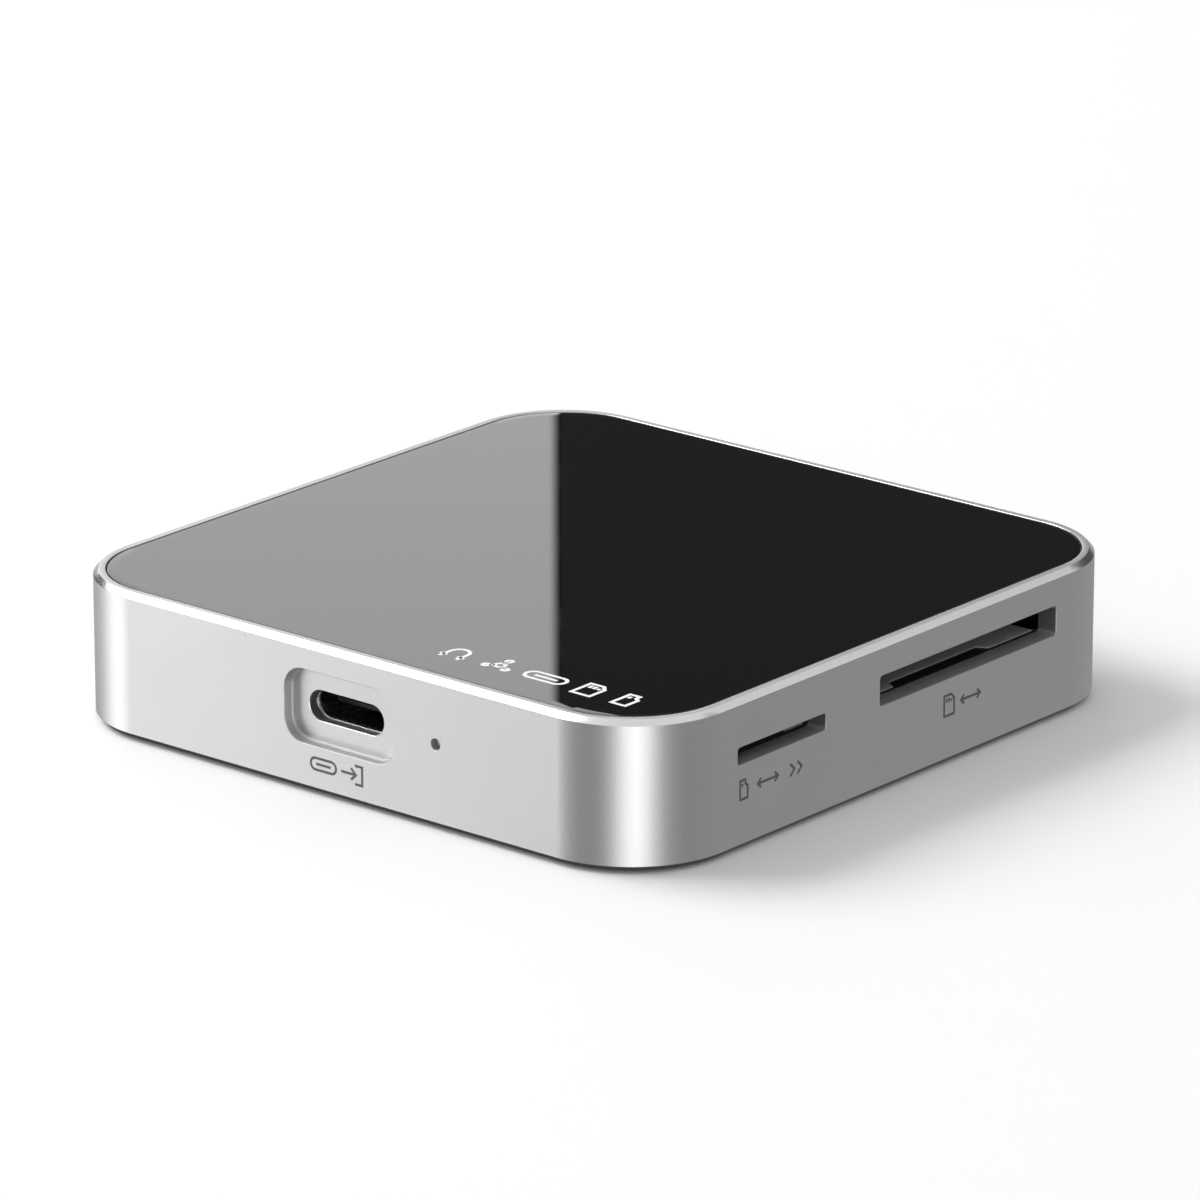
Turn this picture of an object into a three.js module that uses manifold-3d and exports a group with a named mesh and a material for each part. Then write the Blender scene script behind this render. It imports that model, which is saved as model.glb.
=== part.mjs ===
// A square magnetic USB hub: a machined aluminium frame with a black glass top, one upstream USB-C socket in front,
// SD and microSD card sockets on the right, two USB-A sockets on the left and one downstream USB-C socket behind.
// Millimetres, +Z up. The origin is the centre of the base, on the table. Front is -Y, right is +X.

import * as THREE from 'three';
import { mergeVertices } from 'three/addons/utils/BufferGeometryUtils.js';
import Module from 'manifold-3d';

const wasm = await Module();
wasm.setup();

// ---- Driving dimensions -------------------------------------------------------------------------------------------

const SIDE = 70; // outer width and depth of the hub
const HEIGHT = 14; // from the table to the rim
const CORNER = 10; // plan radius of the outer corners
const WALL = 2; // thickness of the frame's side walls
const STANDOFF = 0.25; // gap that the feet leave under the frame
const EDGE = 0.5; // 45 degree chamfer along the frame's top and bottom edges
const GAP = 0.05; // assembly clearance between parts that are stacked or glued
const CLEAR = 1; // how far a cutting tool runs past what it cuts
const LAP = 0.1; // how far two solids reach into each other where they are joined into one piece
const TAPE = { gap: 0.02, inset: 0.3, thickness: 0.18 }; // adhesive tape, its edges set back from what it holds

const RIM = 1.15; // flat rim and chamfer together, from the outer face to the glass pocket
const GLASS = { thickness: 1, inset: 1.22, below: 0.03 };
const LEDGE = { top: 12.75, bottom: 11.55, opening: 60.4, corner: 5 };
const COVER = { bottom: 0.35, thickness: 1.2, rebate: 1.2, side: 67.4 };
const BOARD = { top: 7.9, thickness: 1.2, side: 65.2, corner: 7.6 };
const BOSS = { at: 28.4, side: 7, centre: 28.9, corner: 2.5, tapped: 0.8 };
const POST = { radius: 2.4, bore: 0.9, play: 0.12, sink: 0.2, seat: 0.95 };
const SCREW = { head: 1.5, headHeight: 0.86, rim: 0.12, shank: 0.76, tip: 10.7, point: 0.3 };
const CROSS = { length: 1.7, width: 0.36, depth: 0.45 }; // recess in a screw's head
const FOOT = { at: 21.5, radius: 3.5, height: 0.78, pocket: 0.45, play: 0.12, chamfer: 0.15 };

const USB_C = {
  z: 8.05,
  pocket: { width: 12.8, height: 6.9, corner: 2.2, depth: 1.05 },
  mouth: { width: 8.7, height: 2.85 },
  shell: { width: 8.94, height: 3.16, sheet: 0.3, length: 7.35 },
  tongue: { width: 6.69, height: 0.7, tip: 1.45 },
  body: 1.5,
};
const USB_A = {
  z: 7.75,
  at: 12,
  shell: { width: 13.1, height: 5.7, corner: 0.6, sheet: 0.3, length: 14.4 },
  play: 0.1,
  recess: 0.15,
  tongue: { width: 11.1, height: 1.84, tip: 1.6, rise: 0.93 },
  body: 4.5,
};
const LED = { u: 11.2, z: 7.94, hole: 0.53, pipe: 0.5, recess: 0.55, flange: 0.9, chip: 1.6 };

// Card sockets: u is the card's centre along the face, and channel the width of the card's channel. Depths inside a
// socket count from its mouth. The slider has a bar in front of its spring, and a thin strip that runs beside the
// spring to the arm behind the card. The fingers touch the card's pads, and their bar lies behind the card.
const SD = {
  name: 'sd',
  u: 9.85,
  slot: { width: 25.6, height: 2.8, z: 9.56, corner: 0.35 },
  channel: 24.3,
  length: 29,
  floor: 0.45,
  roof: 2.75,
  rail: 0.5,
  rear: 1.1,
  sheet: 0.2,
  slider: { width: 2.1, start: 8, bar: 5, strip: 0.45, arm: 2.6, armFront: 21.9, armThickness: 1.2, height: 1.2 },
  spring: { coils: 9, radius: 0.55, wire: 0.13 },
  contacts: { count: 9, pitch: 2.3, width: 0.9, tip: 21.6, bar: 1.3 },
};
const MICRO_SD = {
  name: 'microsd',
  u: -16.66,
  slot: { width: 12.15, height: 1.58, z: 8.85, corner: 0.3 },
  channel: 11.3,
  length: 15,
  floor: 0.45,
  roof: 1.63,
  rail: 0.45,
  rear: 1.1,
  sheet: 0.15,
  slider: { width: 1.6, start: 3.2, bar: 3, strip: 0.35, arm: 1.6, armFront: 9.9, armThickness: 0.8, height: 0.68 },
  spring: { coils: 8, radius: 0.36, wire: 0.1 },
  contacts: { count: 8, pitch: 1, width: 0.5, tip: 9.8, bar: 0.7 },
};

const MAGNET = { count: 12, inner: 23, outer: 27, sector: 27.6, bottom: 11.75, top: 12.78 };
const CARRIER = { inner: 20, outer: 29, bottom: 11.1, top: 12.8, clearance: 0.2, floor: 0.3 };
const SHUNT = { bottom: 11.42, top: 11.72 };

// ---- Materials ----------------------------------------------------------------------------------------------------

const finish = (color, roughness, metalness) => new THREE.MeshStandardMaterial({ color, roughness, metalness });
const anodisedAluminium = finish('#c9c9c9', 0.42, 1);
const blackGlass = finish('#101010', 0.04, 0);
const adhesiveTape = finish('#2b2b2b', 0.8, 0);
const blackNylon = finish('#1c1c1d', 0.6, 0);
const nickelPlate = finish('#b8b6b0', 0.25, 1);
const shuntSteel = finish('#8d8f91', 0.4, 1);
const stainlessSteel = finish('#c4c6c8', 0.28, 1);
const goldPlate = finish('#c9a24b', 0.3, 1);
const solderMask = finish('#123b2a', 0.45, 0);
const bluePlastic = finish('#1d4f9c', 0.45, 0);
const whiteNylon = finish('#d9d8d2', 0.55, 0);
const chipResin = finish('#191919', 0.7, 0);
const ferrite = finish('#3b3d40', 0.6, 0);
const ceramicCase = finish('#c3b79c', 0.5, 0);
const ledLens = finish('#e9ecec', 0.3, 0);
const clearAcrylic = finish('#8f9396', 0.2, 0);
const thermalSilicone = finish('#8fa6b5', 0.9, 0);
const blackRubber = finish('#1a1a1a', 0.85, 0);
const zincScrew = finish('#9a9c9f', 0.35, 1);

// ---- Solids -------------------------------------------------------------------------------------------------------

// A closed three.js geometry as a manifold solid, and back again.
function solid(geometry) {
  const bare = geometry.clone();
  bare.deleteAttribute('normal');
  bare.deleteAttribute('uv');
  const merged = mergeVertices(bare, 1e-4);
  const mesh = new wasm.Mesh({
    numProp: 3,
    vertProperties: merged.attributes.position.array,
    triVerts: new Uint32Array(merged.index.array),
  });
  return new wasm.Manifold(mesh);
}

function geometryOf(made) {
  const mesh = made.getMesh();
  const geometry = new THREE.BufferGeometry();
  geometry.setAttribute('position', new THREE.BufferAttribute(mesh.vertProperties, 3));
  geometry.setIndex(new THREE.BufferAttribute(mesh.triVerts, 1));
  return geometry;
}

const join = (...geometries) => geometryOf(geometries.map(solid).reduce((all, next) => all.add(next)));

function cut(base, ...tools) {
  return geometryOf(tools.map(solid).reduce((rest, tool) => rest.subtract(tool), solid(base)));
}

function roundedRect(width, height, radius, x = 0, y = 0, Outline = THREE.Shape) {
  const w = width / 2 - radius;
  const h = height / 2 - radius;
  const outline = new Outline();
  outline.absarc(x + w, y + h, radius, 0, Math.PI / 2);
  outline.absarc(x - w, y + h, radius, Math.PI / 2, Math.PI);
  outline.absarc(x - w, y - h, radius, Math.PI, 1.5 * Math.PI);
  outline.absarc(x + w, y - h, radius, 1.5 * Math.PI, 2 * Math.PI);
  outline.closePath();
  return outline;
}

// A slot-shaped outline, a hair short of a full half circle at each end so that it keeps a straight side.
function stadium(width, height, x, y, Outline) {
  return roundedRect(width, height, height / 2 - 0.01, x, y, Outline);
}

function disc(radius, x = 0, y = 0) {
  return new THREE.Shape().absarc(x, y, radius, 0, 2 * Math.PI);
}

// An outline in plan, pulled up from one height to another.
function slab(outline, bottom, top, curveSegments = 8) {
  const geometry = new THREE.ExtrudeGeometry(outline, { depth: top - bottom, bevelEnabled: false, curveSegments });
  return geometry.translate(0, 0, bottom);
}

const roundedSlab = (side, corner, bottom, top, steps) => slab(roundedRect(side, side, corner), bottom, top, steps);

// A turned piece that stands along Z, from a profile of [radius, height] corners that starts and ends on its axis.
function turned(profile, segments) {
  const points = profile.map(([r, z]) => new THREE.Vector2(r, z));
  return new THREE.LatheGeometry(points, segments).rotateX(Math.PI / 2);
}

// A ring about Z, from a profile that closes on itself and is listed anticlockwise.
const ring = (profile, segments) => turned([...profile, profile[0]], segments);

// ---- Faces --------------------------------------------------------------------------------------------------------
// Everything at a side of the hub is drawn in that face's own frame: u to the right as seen from outside, the depth d
// inwards from the outer face, and z up. A face is a group turned about Z.

const TURNS = { front: 0, right: Math.PI / 2, back: Math.PI, left: -Math.PI / 2 };

// An outline in u and z, pulled from one depth to another.
function duct(outline, from, to, curveSegments = 6) {
  const geometry = new THREE.ExtrudeGeometry(outline, { depth: to - from, bevelEnabled: false, curveSegments });
  return geometry.rotateX(Math.PI / 2).translate(0, to - SIDE / 2, 0);
}

function block(u, d, z) {
  const size = [u, d, z].map(([low, high]) => high - low);
  const centre = [u, d, z].map(([low, high]) => (high + low) / 2);
  return new THREE.BoxGeometry(...size).translate(centre[0], centre[1] - SIDE / 2, centre[2]);
}

const onFace = (face, geometry) => geometry.rotateZ(TURNS[face]);

// ---- Frame, glass and cover ---------------------------------------------------------------------------------------

const CORNERS = [
  ['front_left', -1, -1],
  ['front_right', 1, -1],
  ['rear_right', 1, 1],
  ['rear_left', -1, 1],
];

function usbCCuts(face) {
  const { width, height, corner, depth } = USB_C.pocket;
  const { mouth, z } = USB_C;
  return [
    onFace(face, duct(roundedRect(width, height, corner, 0, z), -CLEAR, depth, 3)),
    onFace(face, duct(stadium(mouth.width, mouth.height, 0, z), depth / 2, WALL + CLEAR, 3)),
  ];
}

function usbACut(u) {
  const { shell, play, z } = USB_A;
  const outline = roundedRect(shell.width + 2 * play, shell.height + 2 * play, shell.corner + play, u, z);
  return onFace('left', duct(outline, -CLEAR, WALL + CLEAR, 1));
}

function cardCut({ u, slot }) {
  const outline = roundedRect(slot.width, slot.height, slot.corner, u, slot.z);
  return onFace('right', duct(outline, -CLEAR, WALL + CLEAR, 1));
}

function housing() {
  const outline = roundedRect(SIDE, SIDE, CORNER);
  const outer = new THREE.ExtrudeGeometry(outline, {
    depth: HEIGHT - STANDOFF - 2 * EDGE,
    bevelThickness: EDGE,
    bevelSize: EDGE,
    bevelOffset: -EDGE,
    bevelSegments: 1,
    curveSegments: 6,
  }).translate(0, 0, STANDOFF + EDGE);
  const above = HEIGHT + CLEAR;
  const rebateTop = COVER.bottom + COVER.thickness + GAP;
  const shell = cut(
    outer,
    roundedSlab(SIDE - 2 * WALL, CORNER - WALL, -CLEAR, LEDGE.bottom, 4),
    roundedSlab(LEDGE.opening, LEDGE.corner, LEDGE.bottom - CLEAR, above, 3),
    roundedSlab(SIDE - 2 * RIM, CORNER - RIM, LEDGE.top, above, 6),
    roundedSlab(SIDE - 2 * COVER.rebate, CORNER - COVER.rebate, -CLEAR, rebateTop, 5),
  );
  const bosses = CORNERS.map(([, x, y]) => {
    const outlineOfBoss = roundedRect(BOSS.side, BOSS.side, BOSS.corner, x * BOSS.centre, y * BOSS.centre);
    return slab(outlineOfBoss, BOARD.top + GAP, LEDGE.bottom + LAP, 1);
  });
  const [holeFrom, holeTo] = [BOARD.top - CLEAR, SCREW.tip + SCREW.point];
  const holes = CORNERS.map(([, x, y]) => slab(disc(BOSS.tapped, x * BOSS.at, y * BOSS.at), holeFrom, holeTo, 5));
  return cut(
    join(shell, ...bosses),
    ...holes,
    ...usbCCuts('front'),
    ...usbCCuts('back'),
    usbACut(-USB_A.at),
    usbACut(USB_A.at),
    cardCut(SD),
    cardCut(MICRO_SD),
    onFace('front', duct(disc(LED.hole, LED.u, LED.z), -CLEAR, WALL + CLEAR, 6)),
  );
}

function topGlass() {
  const side = SIDE - 2 * GLASS.inset;
  const top = HEIGHT - GLASS.below;
  return roundedSlab(side, CORNER - GLASS.inset, top - GLASS.thickness, top, 5);
}

function glassAdhesive() {
  const { gap, inset, thickness } = TAPE;
  const side = SIDE - 2 * (GLASS.inset + inset);
  const opening = LEDGE.opening + 2 * inset;
  const outline = roundedRect(side, side, CORNER - GLASS.inset - inset);
  outline.holes.push(roundedRect(opening, opening, LEDGE.corner + inset, 0, 0, THREE.Path));
  return slab(outline, LEDGE.top + gap, LEDGE.top + gap + thickness, 3);
}

function bottomCover() {
  const { bottom, thickness, side, rebate } = COVER;
  const top = bottom + thickness;
  const postTop = BOARD.top - BOARD.thickness - GAP;
  const plate = roundedSlab(side, CORNER - rebate - 0.1, bottom, top, 5);
  const posts = CORNERS.map(([, x, y]) => slab(disc(POST.radius, x * BOSS.at, y * BOSS.at), top - LAP, postTop, 7));
  const pedestal = roundedSlab(PEDESTAL.side, PEDESTAL.corner, top - LAP, PEDESTAL.top, 1);
  pedestal.translate(HUB_CHIP.x, HUB_CHIP.y, 0);
  // The countersink takes the screw's head, and the bore above it clears the shank.
  const sinkRadius = SCREW.head + POST.play;
  const sink = turned(
    [
      [0, -CLEAR],
      [sinkRadius, -CLEAR],
      [sinkRadius, bottom + POST.sink],
      [POST.bore, bottom + POST.seat],
      [POST.bore, postTop + CLEAR],
      [0, postTop + CLEAR],
    ],
    14,
  );
  const sinks = CORNERS.map(([, x, y]) => sink.clone().translate(x * BOSS.at, y * BOSS.at, 0));
  const pockets = CORNERS.map(([, x, y]) =>
    slab(disc(FOOT.radius + FOOT.play, x * FOOT.at, y * FOOT.at), -CLEAR, bottom + FOOT.pocket, 9),
  );
  return cut(join(plate, ...posts, pedestal), ...sinks, ...pockets);
}

function coverScrew() {
  const { head, headHeight, rim, shank, tip, point } = SCREW;
  const bottom = COVER.bottom + 0.08; // sunk just below the cover
  const body = turned(
    [
      [0, bottom],
      [head, bottom],
      [head, bottom + rim],
      [shank, bottom + headHeight],
      [shank, tip - point],
      [shank - point, tip],
      [0, tip],
    ],
    14,
  );
  const slot = new THREE.BoxGeometry(CROSS.length, CROSS.width, 2 * CROSS.depth).translate(0, 0, bottom);
  return cut(body, slot, slot.clone().rotateZ(Math.PI / 2));
}

function foot() {
  const { radius, height, chamfer } = FOOT;
  return turned(
    [
      [0, 0],
      [radius - chamfer, 0],
      [radius, chamfer],
      [radius, height],
      [0, height],
    ],
    20,
  );
}

// ---- Magnets under the glass --------------------------------------------------------------------------------------

function carrierAdhesive() {
  const outline = disc(CARRIER.outer - TAPE.inset);
  outline.holes.push(new THREE.Path().absarc(0, 0, CARRIER.inner + TAPE.inset, 0, 2 * Math.PI));
  return slab(outline, CARRIER.top + TAPE.gap, HEIGHT - GLASS.below - GLASS.thickness - TAPE.gap, 16);
}

function magnetCarrier() {
  const { inner, outer, bottom, top, clearance, floor } = CARRIER;
  return ring(
    [
      [inner, bottom],
      [outer, bottom],
      [outer, top],
      [MAGNET.outer + clearance, top],
      [MAGNET.outer + clearance, bottom + floor],
      [MAGNET.inner - clearance, bottom + floor],
      [MAGNET.inner - clearance, top],
      [inner, top],
    ],
    36,
  );
}

function magnetShunt() {
  const profile = [
    [MAGNET.inner, SHUNT.bottom],
    [MAGNET.outer, SHUNT.bottom],
    [MAGNET.outer, SHUNT.top],
    [MAGNET.inner, SHUNT.top],
  ];
  return ring(profile, 36);
}

function magnet() {
  const half = THREE.MathUtils.degToRad(MAGNET.sector / 2);
  const outline = new THREE.Shape();
  outline.absarc(0, 0, MAGNET.outer, -half, half, false);
  outline.absarc(0, 0, MAGNET.inner, half, -half, true);
  outline.closePath();
  return slab(outline, MAGNET.bottom, MAGNET.top, 2);
}

// ---- Circuit board and what is soldered to it ---------------------------------------------------------------------

const HUB_CHIP = { x: -8, y: -7, side: 9, height: 0.85 };
const PEDESTAL = { side: 12, corner: 1, top: 4.1 };

// [name, size along X, size along Y, height, x, y], all standing on the board.
const TOP_CHIPS = [
  ['card_reader_chip', 6, 6, 0.85, 0.5, -15, chipResin],
  ['power_control_chip', 5, 5, 0.85, -12.5, 18, chipResin],
  ['firmware_chip', 5.2, 4, 1.5, -11, -18, chipResin],
  ['clock_crystal', 3.2, 2.5, 0.75, -6, -22.5, ceramicCase],
  ['power_inductor', 5, 5, 2, -3.5, 18, ferrite],
  ['bulk_capacitor', 4.3, 2.8, 1.9, -4, 11, ceramicCase],
];

function mainBoard() {
  const edge = (SIDE - BOARD.side) / 2;
  const bottom = BOARD.top - BOARD.thickness;
  const levels = [bottom - CLEAR, BOARD.top + CLEAR];
  const plate = roundedSlab(BOARD.side, BOARD.corner, bottom, BOARD.top, 4);
  const holes = CORNERS.map(([, x, y]) => slab(disc(POST.bore, x * BOSS.at, y * BOSS.at), ...levels, 6));
  const cWidth = USB_C.shell.width / 2 + 0.15;
  const cDepth = WALL + GAP + USB_C.shell.length + 0.2;
  const aWidth = USB_A.shell.width / 2 + 0.2;
  const aDepth = USB_A.recess + USB_A.shell.length + 0.25;
  const notch = (face, u, halfWidth, depth) =>
    onFace(face, block([u - halfWidth, u + halfWidth], [edge - CLEAR, depth], levels));
  return cut(
    plate,
    ...holes,
    notch('front', 0, cWidth, cDepth),
    notch('back', 0, cWidth, cDepth),
    notch('left', -USB_A.at, aWidth, aDepth),
    notch('left', USB_A.at, aWidth, aDepth),
    notch('front', LED.u, 1.1, 3.35),
  );
}

function thermalPad() {
  const top = BOARD.top - BOARD.thickness - GAP - HUB_CHIP.height - 0.03;
  const pad = roundedSlab(PEDESTAL.side - 0.4, PEDESTAL.corner - 0.4, PEDESTAL.top + 0.03, top, 1);
  return pad.translate(HUB_CHIP.x, HUB_CHIP.y, 0);
}

function chipBox(width, depth, height, x, y, bottom) {
  return new THREE.BoxGeometry(width, depth, height).translate(x, y, bottom + height / 2);
}

// ---- USB sockets, in the frame of their face ----------------------------------------------------------------------

function metalTube({ width, height, corner, sheet }, u, z, from, to, steps) {
  const outline = roundedRect(width, height, corner, u, z);
  const bore = roundedRect(width - 2 * sheet, height - 2 * sheet, corner - sheet, u, z, THREE.Path);
  outline.holes.push(bore);
  return duct(outline, from, to, steps);
}

function usbCShell() {
  const { shell, z } = USB_C;
  const from = WALL + GAP;
  return metalTube({ ...shell, corner: shell.height / 2 - 0.01 }, 0, z, from, from + shell.length, 4);
}

function usbCTongue() {
  const { shell, tongue, body, z } = USB_C;
  const rear = WALL + GAP + shell.length - 0.05;
  const width = shell.width - 2 * shell.sheet - 0.06;
  const height = shell.height - 2 * shell.sheet - 0.06;
  const plug = duct(stadium(width, height, 0, z), rear - body, rear, 3);
  const front = WALL + GAP + tongue.tip;
  const blade = duct(roundedRect(tongue.width, tongue.height, 0.2, 0, z), front, rear - body + LAP, 1);
  return join(plug, blade);
}

function usbAShell(u) {
  const { shell, recess, z } = USB_A;
  return metalTube(shell, u, z, recess, recess + shell.length, 2);
}

function usbATongue(u) {
  const { shell, recess, tongue, body, z } = USB_A;
  const rear = recess + shell.length - 0.1;
  const inner = roundedRect(shell.width - 2 * shell.sheet - 0.08, shell.height - 2 * shell.sheet - 0.08, 0.25, u, z);
  const plug = duct(inner, rear - body, rear, 1);
  const outline = roundedRect(tongue.width, tongue.height, 0.2, u, z + tongue.rise);
  return join(plug, duct(outline, recess + tongue.tip, rear - body + LAP, 1));
}

// ---- Card sockets, in the frame of the right-hand face ------------------------------------------------------------
// A plastic tray stands on the board with the card's channel in the middle and the ejector's channel on its right. A
// steel cover closes it from above. Depths here count from the inner face of the frame's wall.

const DEPTH = WALL + GAP; // where a card socket starts
const TRAY = BOARD.top + 0.03; // height of a card socket's underside

function socketPlan({ channel, rail, slider }) {
  const ejector = channel / 2 + 0.1;
  const rightRail = ejector + slider.width + 0.15;
  return { left: -channel / 2 - rail, ejector, rightRail, right: rightRail + rail };
}

const inSocket = (socket, u, d, z) =>
  block(
    u.map((value) => value + socket.u),
    d.map((value) => value + DEPTH),
    z.map((value) => value + TRAY),
  );

function socketBase(socket) {
  const { left, rightRail, right } = socketPlan(socket);
  const { length, floor, roof, rail, rear, channel } = socket;
  const wall = [floor - LAP, roof - GAP];
  return join(
    inSocket(socket, [left, right], [0, length], [0, floor]),
    inSocket(socket, [left, -channel / 2], [0, length], wall),
    inSocket(socket, [rightRail, right], [0, length], wall),
    inSocket(socket, [left + rail / 2, right - rail / 2], [length - rear, length], wall),
  );
}

function socketCover(socket) {
  const { left, right } = socketPlan(socket);
  const { length, roof, sheet } = socket;
  const depth = [0.1, length - 0.3];
  const flap = [0.35, roof + sheet];
  return join(
    inSocket(socket, [left - GAP - sheet, right + GAP + sheet], depth, [roof, roof + sheet]),
    inSocket(socket, [left - GAP - sheet, left - GAP], depth, flap),
    inSocket(socket, [right + GAP, right + GAP + sheet], depth, flap),
  );
}

// The springy fingers, and the bar behind the card that they are stamped with.
function socketContacts(socket) {
  const { contacts, floor, channel, length, rear } = socket;
  const { count, pitch, width, tip, bar } = contacts;
  const first = -channel / 2 + 1.1 + width / 2;
  const last = first + (count - 1) * pitch;
  const back = length - rear - GAP;
  const fingers = Array.from({ length: count }, (_, i) => {
    const u = first + i * pitch;
    return inSocket(socket, [u - width / 2, u + width / 2], [tip, back], [floor + 0.03, floor + 0.15]);
  });
  const rail = inSocket(socket, [first - width, last + width], [back - bar, back], [floor + 0.03, floor + 0.5]);
  return join(rail, ...fingers);
}

// Where the spring lies: its centre across the ejector's channel, its height, and its two ends.
function springSeat(socket) {
  const { slider, spring, floor, length, rear } = socket;
  const { ejector, rightRail } = socketPlan(socket);
  return {
    u: (ejector + GAP + slider.strip + rightRail) / 2,
    z: floor + 2 * GAP + spring.radius + spring.wire,
    from: slider.start + slider.bar,
    to: length - rear,
  };
}

function ejectSlider(socket) {
  const { ejector } = socketPlan(socket);
  const { slider, floor, channel } = socket;
  const { width, start, bar, strip, arm, armFront, armThickness, height } = slider;
  const { u, z: centre, from } = springSeat(socket);
  const z = [floor + GAP, floor + GAP + height];
  const inner = ejector + GAP;
  const rear = armFront + armThickness;
  const peg = 0.2; // half the side of the square peg inside the spring's first coil
  return join(
    inSocket(socket, [inner, ejector + width], [start, start + bar], z),
    inSocket(socket, [inner, inner + strip], [start + bar - LAP, rear], z),
    inSocket(socket, [channel / 2 - arm, inner + strip], [armFront, rear], z),
    inSocket(socket, [u - peg, u + peg], [from - LAP, from + 0.8], [centre - peg, centre + peg]),
  );
}

class Helix extends THREE.Curve {
  constructor(radius, from, to, turns) {
    super();
    Object.assign(this, { radius, from, to, turns });
  }

  getPoint(t, target = new THREE.Vector3()) {
    const angle = 2 * Math.PI * this.turns * t;
    const depth = THREE.MathUtils.lerp(this.from, this.to, t);
    return target.set(this.radius * Math.cos(angle), depth, this.radius * Math.sin(angle));
  }
}

function ejectSpring(socket) {
  const { spring } = socket;
  const { u, z, from, to } = springSeat(socket);
  const end = DEPTH - SIDE / 2;
  const room = spring.wire + GAP;
  const wire = new THREE.ExtrudeGeometry(disc(spring.wire), {
    steps: spring.coils * 8,
    curveSegments: 2,
    bevelEnabled: false,
    extrudePath: new Helix(spring.radius, end + from + room, end + to - room, spring.coils),
  });
  return wire.translate(socket.u + u, 0, TRAY + z);
}

// The wire link whose free end follows the heart-shaped groove on the slider.
function camLink(socket) {
  const { ejector } = socketPlan(socket);
  const { slider, floor, roof } = socket;
  const centre = ejector + slider.width / 2;
  const above = floor + 2 * GAP + slider.height;
  const thickness = Math.min(0.4, roof - above - GAP);
  const across = [centre - thickness / 2, centre + thickness / 2];
  const from = slider.start - 2.2;
  const wire = inSocket(socket, across, [from, slider.start + slider.bar * 0.8], [above, above + thickness]);
  return join(wire, inSocket(socket, across, [from, from + thickness], [floor + GAP, above + thickness]));
}

// ---- Status light -------------------------------------------------------------------------------------------------

function lightPipe() {
  const pin = duct(disc(LED.pipe, LED.u, LED.z), LED.recess, WALL + GAP + LAP, 5);
  return join(pin, duct(disc(LED.flange, LED.u, LED.z), WALL + GAP, WALL + 1.1, 6));
}

function ledChip() {
  return block([LED.u - LED.chip / 2, LED.u + LED.chip / 2], [3.4, 3.4 + LED.chip / 2], [TRAY, TRAY + 0.7]);
}

// ---- Assembly -----------------------------------------------------------------------------------------------------

const hub = new THREE.Group();

function place(name, geometry, material, parent = hub) {
  const mesh = new THREE.Mesh(geometry, material);
  mesh.name = name;
  parent.add(mesh);
  return mesh;
}

const faces = Object.fromEntries(
  Object.entries(TURNS).map(([face, turn]) => {
    const group = new THREE.Group();
    group.rotation.z = turn;
    hub.add(group);
    return [face, group];
  }),
);

place('housing', housing(), anodisedAluminium);
place('top_glass', topGlass(), blackGlass);
place('glass_adhesive', glassAdhesive(), adhesiveTape);

place('carrier_adhesive', carrierAdhesive(), adhesiveTape);
place('magnet_carrier', magnetCarrier(), blackNylon);
place('magnet_shunt_ring', magnetShunt(), shuntSteel);
for (let i = 0; i < MAGNET.count; i += 1) {
  const name = `magnet_${String(i + 1).padStart(2, '0')}`;
  place(name, magnet(), nickelPlate).rotation.z = (2 * Math.PI * i) / MAGNET.count;
}

place('main_board', mainBoard(), solderMask);
for (const [name, width, depth, height, x, y, material] of TOP_CHIPS) {
  place(name, chipBox(width, depth, height, x, y, TRAY), material);
}
const underBoard = BOARD.top - BOARD.thickness - GAP;
const { x: chipX, y: chipY, side: chipSide, height: chipHeight } = HUB_CHIP;
place(
  'hub_controller_chip',
  chipBox(chipSide, chipSide, chipHeight, chipX, chipY, underBoard - chipHeight),
  chipResin,
);
place('thermal_pad', thermalPad(), thermalSilicone);

for (const [name, face] of [
  ['usb_c_input', 'front'],
  ['usb_c_output', 'back'],
]) {
  place(`${name}_shell`, usbCShell(), stainlessSteel, faces[face]);
  place(`${name}_tongue`, usbCTongue(), blackNylon, faces[face]);
}
for (const [name, u] of [
  ['usb_a_rear', -USB_A.at],
  ['usb_a_front', USB_A.at],
]) {
  place(`${name}_shell`, usbAShell(u), stainlessSteel, faces.left);
  place(`${name}_tongue`, usbATongue(u), bluePlastic, faces.left);
}
for (const socket of [SD, MICRO_SD]) {
  place(`${socket.name}_socket_base`, socketBase(socket), blackNylon, faces.right);
  place(`${socket.name}_socket_cover`, socketCover(socket), stainlessSteel, faces.right);
  place(`${socket.name}_socket_contacts`, socketContacts(socket), goldPlate, faces.right);
  place(`${socket.name}_eject_slider`, ejectSlider(socket), whiteNylon, faces.right);
  place(`${socket.name}_eject_spring`, ejectSpring(socket), stainlessSteel, faces.right);
  place(`${socket.name}_cam_link`, camLink(socket), stainlessSteel, faces.right);
}
place('led_light_pipe', lightPipe(), clearAcrylic, faces.front);
place('status_led', ledChip(), ledLens, faces.front);

place('bottom_cover', bottomCover(), anodisedAluminium);
for (const [corner, x, y] of CORNERS) {
  place(`cover_screw_${corner}`, coverScrew(), zincScrew).position.set(x * BOSS.at, y * BOSS.at, 0);
  place(`foot_${corner}`, foot(), blackRubber).position.set(x * FOOT.at, y * FOOT.at, 0);
}

export default hub;
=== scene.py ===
import math

import bmesh
import bpy
from mathutils import Matrix, Vector


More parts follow.
